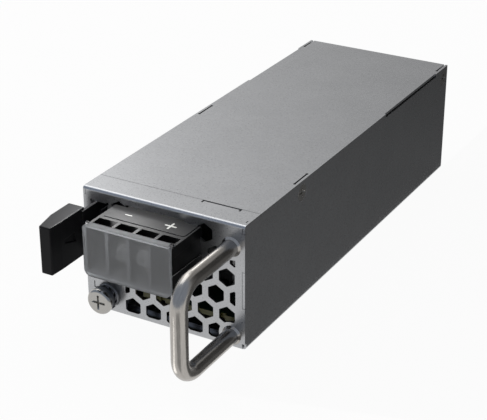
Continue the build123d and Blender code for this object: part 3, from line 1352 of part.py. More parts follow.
BOOST = (BOOST_X, BOOST_Y, BOOST_RADIUS, BOOST_HOLE, BOOST_THICK, ALONG_X)
LINE_CHOKE = (LINE_CHOKE_X, LINE_CHOKE_Y, LINE_CHOKE_RADIUS, LINE_CHOKE_HOLE, LINE_CHOKE_THICK, ALONG_Y)


def filter_capacitors():
    """Boxed film capacitors."""
    boxes = []
    for index in range(FILM_CAP_COUNT):
        y = around(FILM_CAP_Y + index * FILM_CAP_PITCH, FILM_CAP_DEPTH / 2)
        box = span((FILM_CAP_LEFT_X, FILM_CAP_RIGHT_X), y, (BOARD_TOP_Z, BOARD_TOP_Z + FILM_CAP_HEIGHT))
        boxes.append(chamfer(box.edges().group_by(Axis.Z)[-1], FIN_THICK / 3))
    return group(boxes)


def bridge_rectifier():
    """Flat in-line bridge with four leads."""
    width, depth, height = BRIDGE_SIZE
    low = BOARD_TOP_Z + LEAD_LENGTH
    bridge = span(around(BRIDGE_X, width / 2), around(BRIDGE_Y, depth / 2), (low, low + height))
    bridge = chamfer(bridge.edges().group_by(Axis.Z)[-1].sort_by(Axis.X)[0], FIN_THICK)
    for lead in range(4):
        lead_x = BRIDGE_X + (lead - 1.5) * width / 4.5
        lead_y = around(BRIDGE_Y, LEAD_THICK / 2)
        bridge += span(around(lead_x, LEAD_WIDTH / 2), lead_y, (BOARD_TOP_Z, low))
    return bridge


def fuse():
    """Cartridge fuse lying across the board on its end caps."""
    z = BOARD_TOP_Z + FUSE_RADIUS + LEAD_THICK
    start_x = LINE_CHOKE_X - FUSE_LENGTH / 2
    tube = rod((start_x, FUSE_Y, z), ALONG_X, FUSE_RADIUS, FUSE_LENGTH)
    for x in (start_x, start_x + FUSE_LENGTH - FUSE_CAP):
        tube += rod((x, FUSE_Y, z), ALONG_X, FUSE_RADIUS + LEAD_THICK / 2, FUSE_CAP)
        tube += span((x, x + FUSE_CAP), around(FUSE_Y, FUSE_RADIUS), (BOARD_TOP_Z, z))
    return tube


# Rear panel, fan and connector


def fan_corners():
    half = FAN_HOLE_PITCH / 2
    return [(FAN_X + a * half, FAN_Z + b * half) for a in (-1, 1) for b in (-1, 1)]


def rear_panel():
    """Rear plate with the exhaust grille, the connector opening and a riveted foot."""
    edge = INNER_X - FIT - INNER_BEND
    plate = span((-edge, edge), (FAN_BACK_Y, BACK_Y), (SHEET, LID_Z - FIT))
    plate += span((-edge, edge), (BACK_Y - REAR_FLANGE, BACK_Y), (SHEET, 2 * SHEET))
    columns = 2 * round(EXHAUST_RADIUS / HEX_PITCH) + 1
    first_x = FAN_X - (columns // 2) * HEX_PITCH
    first_z = FAN_Z - (columns // 2) * HEX_PITCH * math.sqrt(3) / 2
    for hole_x, hole_z in hex_centres(first_x, first_z, columns, columns + 1):
        if math.dist((hole_x, hole_z), (FAN_X, FAN_Z)) < EXHAUST_RADIUS - HEX_ACROSS / 4:
            hole = hexagon(hole_x, hole_z) & (Pos(FAN_X, FAN_Z) * Circle(EXHAUST_RADIUS))
            plate -= extrude(upright(BACK_Y + FIT) * hole, SHEET + 2 * FIT)
    plate -= connector_opening()
    plate -= [countersink((x, BACK_Y, z), TOWARDS_FRONT, SHEET) for x, z in fan_corners()]
    for rivet_x in rivet_columns():
        plate -= rivet_hole(rivet_x, BACK_Y - REAR_FLANGE + RIVET_SETBACK)
    return plate


def connector_opening():
    x = around(CONNECTOR_X, CONNECTOR_WIDTH / 2 + FIT)
    z = (BOARD_TOP_Z - FIT, BOARD_TOP_Z + CONNECTOR_HEIGHT + FIT)
    return span(x, (FAN_BACK_Y - FIT, BACK_Y + FIT), z)


def fan_frame():
    """Fan housing with end flanges, struts, a motor plate and a bearing tube."""
    half = FAN_SIZE / 2
    frame = span(around(FAN_X, half), (FAN_FRONT_Y, FAN_BACK_Y), around(FAN_Z, half))
    frame = fillet(frame.edges().filter_by(Axis.Y), FAN_CORNER)
    waist_y = (FAN_FRONT_Y + FAN_END_FLANGE, FAN_BACK_Y - FAN_END_FLANGE)
    waist = span(around(FAN_X, FAN_SIZE), waist_y, around(FAN_Z, FAN_SIZE))
    waist -= rod((FAN_X, FAN_FRONT_Y, FAN_Z), ALONG_Y, FAN_BORE + FAN_SHELL, FAN_DEPTH)
    frame -= waist
    frame -= rod((FAN_X, FAN_FRONT_Y - FIT, FAN_Z), ALONG_Y, FAN_BORE, FAN_DEPTH + 2 * FIT)
    frame -= [countersink((x, BACK_Y, z), TOWARDS_FRONT, FAN_DEPTH + SHEET + FIT) for x, z in fan_corners()]
    motor_y = FAN_BACK_Y - HUB_PLATE
    frame += rod((FAN_X, motor_y, FAN_Z), ALONG_Y, HUB_RADIUS, HUB_PLATE)
    for strut in range(STRUT_COUNT):
        reach = (HUB_RADIUS - HUB_WALL, FAN_BORE + FAN_SHELL / 2)
        arm = span(reach, around(0, STRUT_WIDTH / 2), (0, HUB_PLATE))
        turn = Rot(0, 0, 45 + strut * 360 / STRUT_COUNT)
        frame += Plane(origin=(FAN_X, FAN_BACK_Y, FAN_Z), z_dir=TOWARDS_FRONT) * (turn * arm)
    tube_length = HUB_LENGTH - 2 * HUB_WALL
    frame += rod((FAN_X, motor_y, FAN_Z), TOWARDS_FRONT, BEARING_RADIUS, tube_length)
    return frame - rod((FAN_X, BACK_Y, FAN_Z), TOWARDS_FRONT, SHAFT_RADIUS + HOLE_FIT, FAN_DEPTH)


def fan_stator():
    """Motor core with four poles round the bearing tube."""
    back_y = FAN_BACK_Y - HUB_PLATE - HUB_WALL
    ring = Circle(STATOR_RADIUS) - Circle(BEARING_RADIUS + HOLE_FIT)
    reach = (STATOR_RADIUS + BEARING_RADIUS) / 2 + HUB_WALL / 2
    slot = Pos(reach, 0) * Rectangle(STATOR_RADIUS - BEARING_RADIUS, STATOR_SLOT)
    for pole in range(4):
        ring -= Rot(0, 0, 45 + 90 * pole) * slot
    return extrude(upright(back_y) * (Pos(FAN_X, FAN_Z) * ring), STATOR_LENGTH)


def fan_rotor():
    """Hub cup with its shaft and twisted blades."""
    back_y = FAN_BACK_Y - HUB_PLATE - HUB_WALL / 2
    front_y = back_y - HUB_LENGTH
    sweep_room = rod((FAN_X, FAN_FRONT_Y, FAN_Z), ALONG_Y, FAN_BORE - BLADE_TIP_GAP, FAN_DEPTH)
    facing = Plane(origin=(FAN_X, (front_y + back_y) / 2, FAN_Z), z_dir=TOWARDS_FRONT)
    rotor = rod((FAN_X, front_y, FAN_Z), ALONG_Y, HUB_RADIUS, HUB_LENGTH)
    rotor = fillet(rotor.edges().group_by(Axis.Y)[0], HUB_WALL)
    for blade in range(BLADE_COUNT):
        rotor += facing * (Rot(0, 0, blade * 360 / BLADE_COUNT) * fan_blade()) & sweep_room
    rotor -= rod((FAN_X, front_y + HUB_WALL, FAN_Z), ALONG_Y, HUB_RADIUS - HUB_WALL, HUB_LENGTH)
    return rotor + rod((FAN_X, front_y, FAN_Z), ALONG_Y, SHAFT_RADIUS, HUB_LENGTH)


def fan_blade():
    """One twisted blade, drawn along X from inside the hub to the bore."""
    sections = []
    for radius, angle in ((HUB_RADIUS - 2 * HUB_WALL, BLADE_ROOT_ANGLE), (FAN_BORE, BLADE_TIP_ANGLE)):
        plane = Plane(origin=(radius, 0, 0), x_dir=(0, 0, 1), z_dir=(1, 0, 0))
        sections.append(plane * (Rot(0, 0, angle) * Rectangle(BLADE_CHORD, BLADE_THICK)))
    return loft(sections, ruled=True)


def fan_screws():
    return group([flush_screw((x, BACK_Y, z), TOWARDS_FRONT, SCREW_LENGTH) for x, z in fan_corners()])


def socket_places():
    middle = BOARD_TOP_Z + CONNECTOR_HEIGHT / 2
    return [middle + (index - (SOCKET_COUNT - 1) / 2) * SOCKET_PITCH for index in range(SOCKET_COUNT)]


def input_connector():
    """Plug-in power connector with three blade sockets, flush with the rear."""
    x = around(CONNECTOR_X, CONNECTOR_WIDTH / 2)
    z = (BOARD_TOP_Z, BOARD_TOP_Z + CONNECTOR_HEIGHT)
    body = span(x, (BACK_Y - CONNECTOR_DEPTH, BACK_Y), z)
    flange_x = around(CONNECTOR_X, CONNECTOR_WIDTH / 2 + CONNECTOR_FLANGE)
    flange_y = (FAN_BACK_Y - FIT - CONNECTOR_FLANGE, FAN_BACK_Y - FIT)
    body += span(flange_x, flange_y, (z[0], z[1] + CONNECTOR_FLANGE))
    for middle in socket_places():
        socket_x = around(CONNECTOR_X, SOCKET_WIDTH / 2)
        body -= span(socket_x, (BACK_Y - SOCKET_DEPTH, BACK_Y + FIT), around(middle, SOCKET_HEIGHT / 2))
    return body


def input_contacts():
    """Contact blades standing in the sockets."""
    blades = []
    for middle in socket_places():
        x = around(CONNECTOR_X, BLADE_CONTACT_THICK / 2)
        y = (BACK_Y - SOCKET_DEPTH, BACK_Y - BLADE_CONTACT_GAP)
        blades.append(span(x, y, around(middle, SOCKET_HEIGHT / 2 - BLADE_CONTACT_GAP)))
    return group(blades)


NODES = {
    "front_panel": front_panel(),
    "chassis_tray": chassis_tray(),
    "top_cover": top_cover(),
    "cover_screws": cover_screws(),
    "case_rivets": case_rivets(),
    "pull_handle": pull_handle(),
    "handle_nuts": handle_nuts(),
    "terminal_housing": terminal_housing(),
    "terminal_cover": terminal_cover(),
    "terminal_clamps": terminal_clamps(),
    "output_busbars": output_busbars(),
    "terminal_screw_negative": terminal_screw(TERMINAL_CELLS[0]),
    "terminal_screw_positive": terminal_screw(TERMINAL_CELLS[1]),
    "block_screws": block_screws(),
    "earth_insert": earth_insert(),
    "earth_lock_washer": earth_lock_washer(),
    "earth_cup_washer": earth_cup_washer(),
    "earth_screw": earth_screw(),
    "latch_lever": latch_lever(),
    "latch_bracket": latch_bracket(),
    "latch_pin": latch_pin(),
    "latch_spring": latch_spring(),
    "latch_rivets": latch_rivets(),
    "main_pcb": main_pcb(),
    "insulation_sheet": insulation_sheet(),
    "pcb_standoffs": pcb_standoffs(),
    "pcb_screws": pcb_screws(),
    "output_heat_sink": heat_sink(OUTPUT_SINK_Y, OUTPUT_SINK_LENGTH),
    "output_rectifiers": clipped_packages(OUTPUT_SINK_Y, OUTPUT_SINK_LENGTH, RECTIFIER_COUNT, RECTIFIER_BODY),
    "output_capacitors": output_capacitors(),
    "output_choke": output_choke(),
    "control_board": control_board(),
    "control_chips": control_chips(),
    "transformer_core": transformer_core(),
    "transformer_bobbin": transformer_bobbin(),
    "transformer_winding": transformer_winding(),
    "primary_heat_sink": heat_sink(PRIMARY_SINK_Y, PRIMARY_SINK_LENGTH),
    "power_transistors": clipped_packages(
        PRIMARY_SINK_Y, PRIMARY_SINK_LENGTH, TRANSISTOR_COUNT, TRANSISTOR_BODY
    ),
    "bulk_capacitors": bulk_capacitors(),
    "boost_choke_core": ring_core(*BOOST),
    "boost_choke_winding": ring_winding(*BOOST, BOOST_TURNS),
    "filter_capacitors": filter_capacitors(),
    "bridge_rectifier": bridge_rectifier(),
    "filter_choke_core": ring_core(*LINE_CHOKE),
    "filter_choke_winding": ring_winding(*LINE_CHOKE, LINE_CHOKE_TURNS),
    "fuse": fuse(),
    "rear_panel": rear_panel(),
    "fan_frame": fan_frame(),
    "fan_stator": fan_stator(),
    "fan_rotor": fan_rotor(),
    "fan_screws": fan_screws(),
    "input_connector": input_connector(),
    "input_contacts": input_contacts(),
}

os.makedirs("parts", exist_ok=True)
for name, shape in NODES.items():
    export_step(shape, f"parts/{name}.step")
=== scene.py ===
# %% [markdown]
# # A rack power supply, dressed and lit
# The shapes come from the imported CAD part. This file gives each of its metals, plastics and boards
# the surface that the real one has, adds the printed marks, and lights it on a pale floor.
# Everything is in metres, in the part's own frame: X across the front, Y to the rear, Z up.

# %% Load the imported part
import math
import bmesh
import bpy
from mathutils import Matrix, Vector


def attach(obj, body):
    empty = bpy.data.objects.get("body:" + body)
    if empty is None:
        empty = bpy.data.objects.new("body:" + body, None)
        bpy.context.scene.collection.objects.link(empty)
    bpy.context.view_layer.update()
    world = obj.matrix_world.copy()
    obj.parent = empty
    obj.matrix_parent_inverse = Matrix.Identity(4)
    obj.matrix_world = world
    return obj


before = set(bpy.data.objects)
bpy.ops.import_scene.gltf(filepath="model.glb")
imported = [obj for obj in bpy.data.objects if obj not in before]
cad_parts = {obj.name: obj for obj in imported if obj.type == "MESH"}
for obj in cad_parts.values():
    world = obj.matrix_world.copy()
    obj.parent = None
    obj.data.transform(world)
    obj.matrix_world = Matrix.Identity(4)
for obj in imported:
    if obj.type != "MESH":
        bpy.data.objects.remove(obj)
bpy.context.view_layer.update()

# %% [markdown]
# ## The camera
# A product picture like this is taken from in front, to the right and above, with a long lens, so that
# the case's long edges stay almost parallel. The angles are turned into a rotation in one step: a Blender
# camera looks down its own -Z, so it is first tipped up from the floor and then swung round Z.

# %% Camera
AZIMUTH = math.radians(29.47)
ELEVATION = math.radians(26.096)
CAMERA_PLACE = (0.199748, -0.379594, 0.217455)
LENS_MM = 105.45
SENSOR_MM = 36
NEAREST = 0.01
camera_data = bpy.data.cameras.new("product_camera")
camera_data.lens = LENS_MM
camera_data.sensor_width = SENSOR_MM
camera_data.sensor_fit = "HORIZONTAL"
camera_data.clip_start = NEAREST
camera = bpy.data.objects.new("product_camera", camera_data)
bpy.context.scene.collection.objects.link(camera)
camera.location = CAMERA_PLACE
camera.rotation_euler = (math.pi / 2 - ELEVATION, 0, AZIMUTH)
bpy.context.scene.camera = camera
bpy.context.scene.view_settings.view_transform = "Standard"
print("camera stands", round(camera.location.length, 3), "m from the part's origin")

# %% [markdown]
# ## Tools for the finishes
# Every finish below is a small network of nodes. Two helpers keep the cells short: one turns the hex
# colour that a paint chart gives into Blender's linear colour, and one adds a node with its settings.
# A Mix node knows its colour sockets by number only, so those numbers are named once, here.

# %% Colour and node helpers
FACTOR, COLOUR_A, COLOUR_B = 0, 6, 7
COLOUR_OUT = 2


def linear(code):
    """Linear colour of an sRGB hex value such as #A0A0A0."""
    parts = [int(code[i:i + 2], 16) / 255 for i in (1, 3, 5)]
    return [p / 12.92 if p <= 0.04045 else ((p + 0.055) / 1.055) ** 2.4 for p in parts] + [1.0]


def add(tree, kind, values=(), links=(), **settings):
    """Adds one node, with its settings, its input values and the links into it."""
    node = tree.nodes.new(kind)
    for name, value in settings.items():
        setattr(node, name, value)
    for name, value in dict(values).items():
        node.inputs[name].default_value = value
    for name, source in dict(links).items():
        tree.links.new(source, node.inputs[name])
    return node


print("paint #808080 is", round(linear("#808080")[0], 3), "in linear colour")

# %% [markdown]
# ## What every finish has
# No real surface is quite even: its gloss and its relief vary a little from spot to spot. A picture of
# such a surface could be wrapped round each piece, but a noise pattern needs no picture and no unwrapping.
# It is measured in millimetres on the object, so its grain keeps its true size. Drawn out along an axis,
# the same lumps turn into scratches.

# %% A new finish and its pattern
def new_finish(name, code, **values):
    """New material in one colour. Returns it with its tree, its shader and the part's coordinates."""
    material = bpy.data.materials.new(name)
    material.use_nodes = True
    tree = material.node_tree
    shader = tree.nodes["Principled BSDF"]
    shader.inputs["Base Color"].default_value = linear(code)
    for socket, value in values.items():
        shader.inputs[socket.replace("_", " ")].default_value = value
    place = add(tree, "ShaderNodeTexCoord").outputs["Object"]
    return material, tree, shader, place


def grain(tree, place, size_mm, stretch=(1, 1, 1), detail=3.0):
    """Soft random pattern with lumps of about size_mm, drawn out along each axis by its stretch."""
    scale = [1000 / (size_mm * pull) for pull in stretch]
    sized = add(tree, "ShaderNodeMapping", {"Scale": scale}, {"Vector": place})
    noise = add(tree, "ShaderNodeTexNoise", {"Scale": 1.0, "Detail": detail}, {"Vector": sized.outputs[0]})
    return noise.outputs["Fac"]


print("pattern helper ready, with lumps of 1 mm at a scale of", 1000 / 1.0)

# %% [markdown]
# ## Gloss, relief and colour
# One pattern drives gloss and relief together, because on a real surface both come from the same lumps.
# Noise keeps mostly to the middle of its range, so that middle is stretched over the wanted values. Where
# a moulded or stamped edge is eased by a few tenths of a millimetre, the Bevel node rounds it in the
# shading alone. A mottled colour is a mix of two close tones.

# %% Texture and tones
PATTERN_LOW, PATTERN_HIGH = 0.3, 0.7
TONE_LOW, TONE_HIGH = 0.35, 0.65


def texture(tree, shader, pattern, roughness, depth_mm, edge_mm=0.0):
    """Lets one pattern vary the gloss and the relief, over edges that look rounded by edge_mm."""
    limits = {"From Min": PATTERN_LOW, "From Max": PATTERN_HIGH, "To Min": roughness[0], "To Max": roughness[1]}
    gloss = add(tree, "ShaderNodeMapRange", limits, {"Value": pattern})
    tree.links.new(gloss.outputs[0], shader.inputs["Roughness"])
    relief = add(tree, "ShaderNodeBump", {"Distance": depth_mm / 1000}, {"Height": pattern})
    if edge_mm:
        edge = add(tree, "ShaderNodeBevel", {"Radius": edge_mm / 1000}, samples=4)
        tree.links.new(edge.outputs[0], relief.inputs["Normal"])
    tree.links.new(relief.outputs[0], shader.inputs["Normal"])


def two_tone(tree, shader, pattern, low, high):
    """Colours a finish between two hex colours by a pattern."""
    spread = add(tree, "ShaderNodeMapRange", {"From Min": TONE_LOW, "From Max": TONE_HIGH}, {"Value": pattern})
    mix = add(tree, "ShaderNodeMix", {COLOUR_A: linear(low), COLOUR_B: linear(high)},
              {FACTOR: spread.outputs[0]}, data_type="RGBA")
    tree.links.new(mix.outputs[COLOUR_OUT], shader.inputs["Base Color"])


print("gloss and relief read the pattern from", PATTERN_LOW, "to", PATTERN_HIGH)

# %% [markdown]
# ## The plain finish
# Most pieces of a power supply are one material with one even grain. Their finishes differ in a few
# numbers only, so one function makes them all, and keeps each under its slot in the part's record.

# %% A plain finish
finishes = {}


def plain_finish(slot, name, code, size_mm, roughness, depth_mm, edge_mm=0.0, detail=3.0, **values):
    """Whole finish of one colour with one grain, kept for the pieces of a slot."""
    material, tree, shader, place = new_finish(name, code, **values)
    texture(tree, shader, grain(tree, place, size_mm, detail=detail), roughness, depth_mm, edge_mm)
    finishes[slot] = material
    print(slot, "is", material.name, "with", len(tree.nodes), "nodes")


print("plain finishes can be made")

# %% [markdown]
# ## The case: zinc-plated steel sheet
# The case is folded from pre-plated steel. The zinc gives a cool mid grey with a satin shine, and the
# rolled sheet keeps a very fine grain. Real grain is about 0.1 mm; it is drawn at 0.5 mm here, because a
# finer one would vanish in the picture. A wide, faint mottle keeps large flat faces from looking dead.
# The folds are real bends in the CAD part, so this finish has no rounded edges of its own.

# %% Zinc-plated steel sheet
FINE_SHARE = 0.75
sheet, tree, shader, place = new_finish("zinc_plated_steel_sheet", "#A6A7A9", Metallic=0.97)
fine = grain(tree, place, size_mm=0.5, detail=2.0)
cloud = grain(tree, place, size_mm=14.0, detail=2.0)
fine_part = add(tree, "ShaderNodeMath", {1: FINE_SHARE}, {0: fine}, operation="MULTIPLY").outputs[0]
both = add(tree, "ShaderNodeMath", {1: 1 - FINE_SHARE}, {0: cloud, 2: fine_part}, operation="MULTIPLY_ADD")
two_tone(tree, shader, both.outputs[0], low="#A5A6A8", high="#B2B3B5")
texture(tree, shader, fine, roughness=(0.27, 0.31), depth_mm=0.0012)
finishes["plated_steel"] = sheet
print(sheet.name, len(tree.nodes), "nodes")

# %% [markdown]
# ## The handle: brushed stainless bar
# The handle is bent from round stainless bar that was brushed along its length, which leaves long
# hairline scratches. An anisotropic shader would smear its reflections, but show no single scratch. The
# bar runs along Z in its upright part and along Y in its two arms, so one pattern that is drawn out
# along both axes serves the whole bar.

# %% Brushed stainless bar
bar, tree, shader, place = new_finish("brushed_stainless_bar", "#A8A49F", Metallic=1.0)
hairline = grain(tree, place, size_mm=0.35, stretch=(1, 9, 9))
two_tone(tree, shader, hairline, low="#A39F9A", high="#ADA9A4")
texture(tree, shader, hairline, roughness=(0.22, 0.27), depth_mm=0.0006)
finishes["handle_steel"] = bar
print(bar.name, len(tree.nodes), "nodes")

# %% [markdown]
# ## Screws and small plated parts
# Screws are nickel plated and bright. Nuts, rivets and brackets are zinc plated and duller. The washers
# under the earth screw are spring steel with a dark finish. Each is one metal with a fine grain, so the
# plain finish does; only the grey, the gloss and the size of the eased edge differ.

# %% Plated fasteners
plain_finish("bright_screw", "nickel_plated_screw", "#A9A7A3", size_mm=0.4,
             roughness=(0.18, 0.26), depth_mm=0.003, edge_mm=0.14, Metallic=1.0)
plain_finish("steel_part", "zinc_plated_small_part", "#9C9D9F", size_mm=0.5,
             roughness=(0.3, 0.45), depth_mm=0.01, edge_mm=0.12, Metallic=0.95)
plain_finish("dark_washer", "dark_spring_steel_washer", "#6E6F72", size_mm=0.4,
             roughness=(0.32, 0.46), depth_mm=0.01, edge_mm=0.1, Metallic=0.95)

# %% [markdown]
# ## The terminal block and the lever: moulded plastics
# The block is black glass-filled polyamide, which moulds with a slightly uneven, low sheen. The lever is
# black ABS from a tool with a fine spark-eroded texture, so it scatters light more and looks greyer.
# The tiny pits of such a texture trap part of what they reflect. They are too small to model, so a low
# specular level stands for them.

# %% Moulded polyamide and ABS
plain_finish("black_moulding", "moulded_black_polyamide", "#0A0A0B", size_mm=0.45,
             roughness=(0.42, 0.48), depth_mm=0.0015, edge_mm=0.18, IOR=1.53, Specular_IOR_Level=0.1)
plain_finish("lever_moulding", "spark_textured_black_abs", "#1C1C1E", size_mm=0.4, detail=4.0,
             roughness=(0.36, 0.44), depth_mm=0.005, edge_mm=0.3, IOR=1.5, Specular_IOR_Level=0.12)

# %% [markdown]
# ## The terminal cover: frosted polycarbonate
# The flap over the terminals is clear polycarbonate with a frosted face. Light goes through it but is
# scattered, so what lies behind turns into soft grey shapes. Transmission with some roughness does it,
# and the last tenth of plain diffuse grey stands for the light that the frosting throws back.

# %% Frosted polycarbonate
plain_finish("frosted_cover", "frosted_polycarbonate", "#C8CBCF", size_mm=0.6,
             roughness=(0.28, 0.31), depth_mm=0.0002, edge_mm=0.3,
             Transmission_Weight=0.9, IOR=1.58, Specular_IOR_Level=0.21)

# %% [markdown]
# ## The boards: glass epoxy
# The main board is seen through the honeycomb, mostly by its edge. It is glass epoxy under green solder
# mask, and its cut edge shows the bare yellowish glass cloth. The surface normal tells edge from face: a
# face points up or down, an edge sideways. By that rule the upright control board shows bare cloth on
# both sides, which stays out of sight. A Voronoi pattern with straight-sided cells stands for the copper
# areas under the mask, which show through it as a slightly lighter green.

# %% Glass epoxy board
TRACK_PITCH_MM = 2.4
COPPER_EDGE = {"From Min": 0.25, "From Max": 0.3}
board, tree, shader, place = new_finish("solder_masked_glass_epoxy", "#16321F", IOR=1.5)
facing = add(tree, "ShaderNodeNewGeometry").outputs["Normal"]
upward = add(tree, "ShaderNodeSeparateXYZ", links={0: facing}).outputs["Z"]
face = add(tree, "ShaderNodeMath", links={0: upward}, operation="ABSOLUTE").outputs[0]
tracks = add(tree, "ShaderNodeTexVoronoi", {"Scale": 1000 / TRACK_PITCH_MM}, {"Vector": place},
             distance="MANHATTAN")
copper = add(tree, "ShaderNodeMapRange", COPPER_EDGE, {"Value": tracks.outputs["Distance"]})
mask = add(tree, "ShaderNodeMix", {COLOUR_A: linear("#0C1E13"), COLOUR_B: linear("#142F1C")},
           {FACTOR: copper.outputs[0]}, data_type="RGBA")
cut = add(tree, "ShaderNodeMix", {COLOUR_A: linear("#74723A")},
          {FACTOR: face, COLOUR_B: mask.outputs[COLOUR_OUT]}, data_type="RGBA")
tree.links.new(cut.outputs[COLOUR_OUT], shader.inputs["Base Color"])
texture(tree, shader, grain(tree, place, size_mm=0.8), roughness=(0.3, 0.42), depth_mm=0.01)
finishes["board"] = board
print(board.name, len(tree.nodes), "nodes")

# %% [markdown]
# ## Copper, film and heat sinks
# The output bars are copper under a thin coat of tin, which leaves them pale and warm. The sheet under
# the board is a smoked polyester film that lets little light through. The heat sinks are sawn from
# extruded aluminium. Their sawn ends are what faces the honeycomb and the rear grille, and the saw's fine
# lines run up and down them, so the pattern is drawn out along Z.

# %% Tinned copper, film and extruded aluminium
plain_finish("copper_bar", "tinned_copper_bar", "#C2B18F", size_mm=0.5,
             roughness=(0.25, 0.38), depth_mm=0.006, edge_mm=0.1, Metallic=1.0)
plain_finish("clear_film", "smoked_polyester_insulating_film", "#0E0E0E", size_mm=6.0,
             roughness=(0.5, 0.6), depth_mm=0.01, Transmission_Weight=0.3, Specular_IOR_Level=0.08)
extruded, tree, shader, place = new_finish("extruded_aluminium", "#A9AAAC", Metallic=1.0)
saw_lines = grain(tree, place, size_mm=0.25, stretch=(1, 1, 40))
texture(tree, shader, saw_lines, roughness=(0.3, 0.45), depth_mm=0.006)
finishes["sink_aluminium"] = extruded
print(extruded.name, len(tree.nodes), "nodes")

# %% [markdown]
# ## Packages and cans
# Transistors, rectifiers and chips sit in moulded epoxy, which is nearly black and matt, and the
# transformer's bobbin is close enough to share it. The electrolytic cans are aluminium in a dark shrink
# sleeve that leaves the top bare. They stand upright, so only the top points straight up, and the surface
# normal chooses between sleeve and bare metal.

# %% Epoxy packages and sleeved cans
LID_FACING = 0.9
plain_finish("package_black", "moulded_epoxy_package", "#202022", size_mm=0.3,
             roughness=(0.5, 0.62), depth_mm=0.01, edge_mm=0.1, IOR=1.55)
sleeve, tree, shader, place = new_finish("shrink_sleeved_can", "#1C2230", IOR=1.5)
facing = add(tree, "ShaderNodeNewGeometry").outputs["Normal"]
upward = add(tree, "ShaderNodeSeparateXYZ", links={0: facing}).outputs["Z"]
lid = add(tree, "ShaderNodeMath", {1: LID_FACING}, {0: upward}, operation="GREATER_THAN").outputs[0]
tree.links.new(lid, shader.inputs["Metallic"])
tops = add(tree, "ShaderNodeMix", {COLOUR_A: linear("#1C2230"), COLOUR_B: linear("#B5B6B8")},
           {FACTOR: lid}, data_type="RGBA")
tree.links.new(tops.outputs[COLOUR_OUT], shader.inputs["Base Color"])
texture(tree, shader, grain(tree, place, size_mm=1.2), roughness=(0.25, 0.35), depth_mm=0.01)
finishes["can_sleeve"] = sleeve
print(sleeve.name, len(tree.nodes), "nodes")

# %% [markdown]
# ## Coils and their cores
# Ferrite is pressed powder fired to a dark grey ceramic with a pitted skin. The transformer's coil is
# wrapped in yellow polyester tape whose turns overlap, so its pattern runs in bands round the coil. The
# two ring chokes are wound with enamelled copper wire, which shines like a darker, redder metal.

# %% Ferrite, coil tape and enamelled wire
plain_finish("ferrite", "sintered_ferrite", "#3A3A3C", size_mm=0.3, detail=5.0,
             roughness=(0.5, 0.7), depth_mm=0.03, IOR=2.0)
tape, tree, shader, place = new_finish("polyester_coil_tape", "#C9A534", IOR=1.6)
overlap = grain(tree, place, size_mm=1.0, stretch=(20, 20, 2.5))
two_tone(tree, shader, overlap, low="#B8932A", high="#D3B145")
texture(tree, shader, overlap, roughness=(0.2, 0.3), depth_mm=0.03)
finishes["coil_tape"] = tape
print(tape.name, len(tree.nodes), "nodes")
plain_finish("winding_copper", "enamelled_copper_wire", "#9A4A22", size_mm=0.8,
             roughness=(0.2, 0.3), depth_mm=0.004, Metallic=0.9)

# %% [markdown]
# ## Film capacitors, fuse, connector and fan
# Film capacitors are cast in small yellow boxes and the fuse is a glazed ceramic tube. The connector is
# black polyester and the fan is glass-filled, so both have a faint grain and soft edges.

# %% Capacitor boxes, fuse tube, connector and fan mouldings
plain_finish("film_box", "cast_film_capacitor_box", "#C2A548", size_mm=0.8,
             roughness=(0.3, 0.4), depth_mm=0.01, edge_mm=0.2, IOR=1.5)
plain_finish("fuse_body", "glazed_ceramic_fuse_tube", "#DAD7CC", size_mm=1.5,
             roughness=(0.12, 0.2), depth_mm=0.004, IOR=1.5)
plain_finish("connector_body", "moulded_black_polyester", "#1A1A1C", size_mm=0.5,
             roughness=(0.38, 0.48), depth_mm=0.008, edge_mm=0.2, IOR=1.57)
plain_finish("fan_moulding", "glass_filled_fan_moulding", "#19191A", size_mm=0.6, detail=4.0,
             roughness=(0.4, 0.52), depth_mm=0.012, edge_mm=0.2, IOR=1.57)

# %% [markdown]
# ## Putting the finishes on
# Each CAD piece came in with one plain material, named for its slot in the record. Swapping that for the
# finish of the same slot keeps the meshes as they are.

# %% Give each piece its finish
for name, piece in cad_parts.items():
    for holder in piece.material_slots:
        holder.material = finishes[holder.material.name.split(".")[0]]
print("finished", len(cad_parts), "pieces with", len(finishes), "finishes")

# %% [markdown]
# ## Polarity marks
# The block's top carries pad-printed marks. Pad printing lays down a film of ink a few hundredths of a
# millimetre thick. Each mark is cut as one flat outline and thickened a little, so that it catches the
# light as ink does and doesn't flicker against the plastic below.

# %% Ink and the outlines of the marks
BLOCK_TOP_Z = 0.0368
MARK_Y = -0.0776
PLUS_CENTRE = (0.0056, MARK_Y)
PLUS_HALF_LENGTH = 0.0019
PLUS_HALF_STROKE = 0.0003
MINUS_CENTRE = (-0.0086, MARK_Y)
MINUS_HALF_LENGTH = 0.0012
MINUS_HALF_STROKE = 0.0002
INK_LAYER = 0.00004
ROUND_STEPS = 16
ink, tree, shader, place = new_finish("white_pad_print_ink", "#ABABA7", IOR=1.5)
texture(tree, shader, grain(tree, place, size_mm=0.3), roughness=(0.45, 0.6), depth_mm=0.002)


def stroke_outline(centre, half_length, half_width):
    """Corners of one rounded printed stroke along X."""
    points = []
    for step in range(ROUND_STEPS):
        turn = math.tau * (step + 0.5) / ROUND_STEPS
        long_part = math.copysign(half_length - half_width, math.cos(turn)) + half_width * math.cos(turn)
        points.append((centre[0] + long_part, centre[1] + half_width * math.sin(turn)))
    return points


def plus_outline(centre, half_length, half_width):
    """Corners of a plus sign with slightly eased ends, one arm after the other."""
    ease = half_width / 2
    corners = ((half_length - ease, -half_width), (half_length, -ease), (half_length, ease),
               (half_length - ease, half_width), (half_width, half_width))
    points = []
    for along in (Vector((1, 0)), Vector((0, 1)), Vector((-1, 0)), Vector((0, -1))):
        across = Vector((-along.y, along.x))
        for far, side in corners:
            spot = far * along + side * across
            points.append((centre[0] + spot.x, centre[1] + spot.y))
    return points


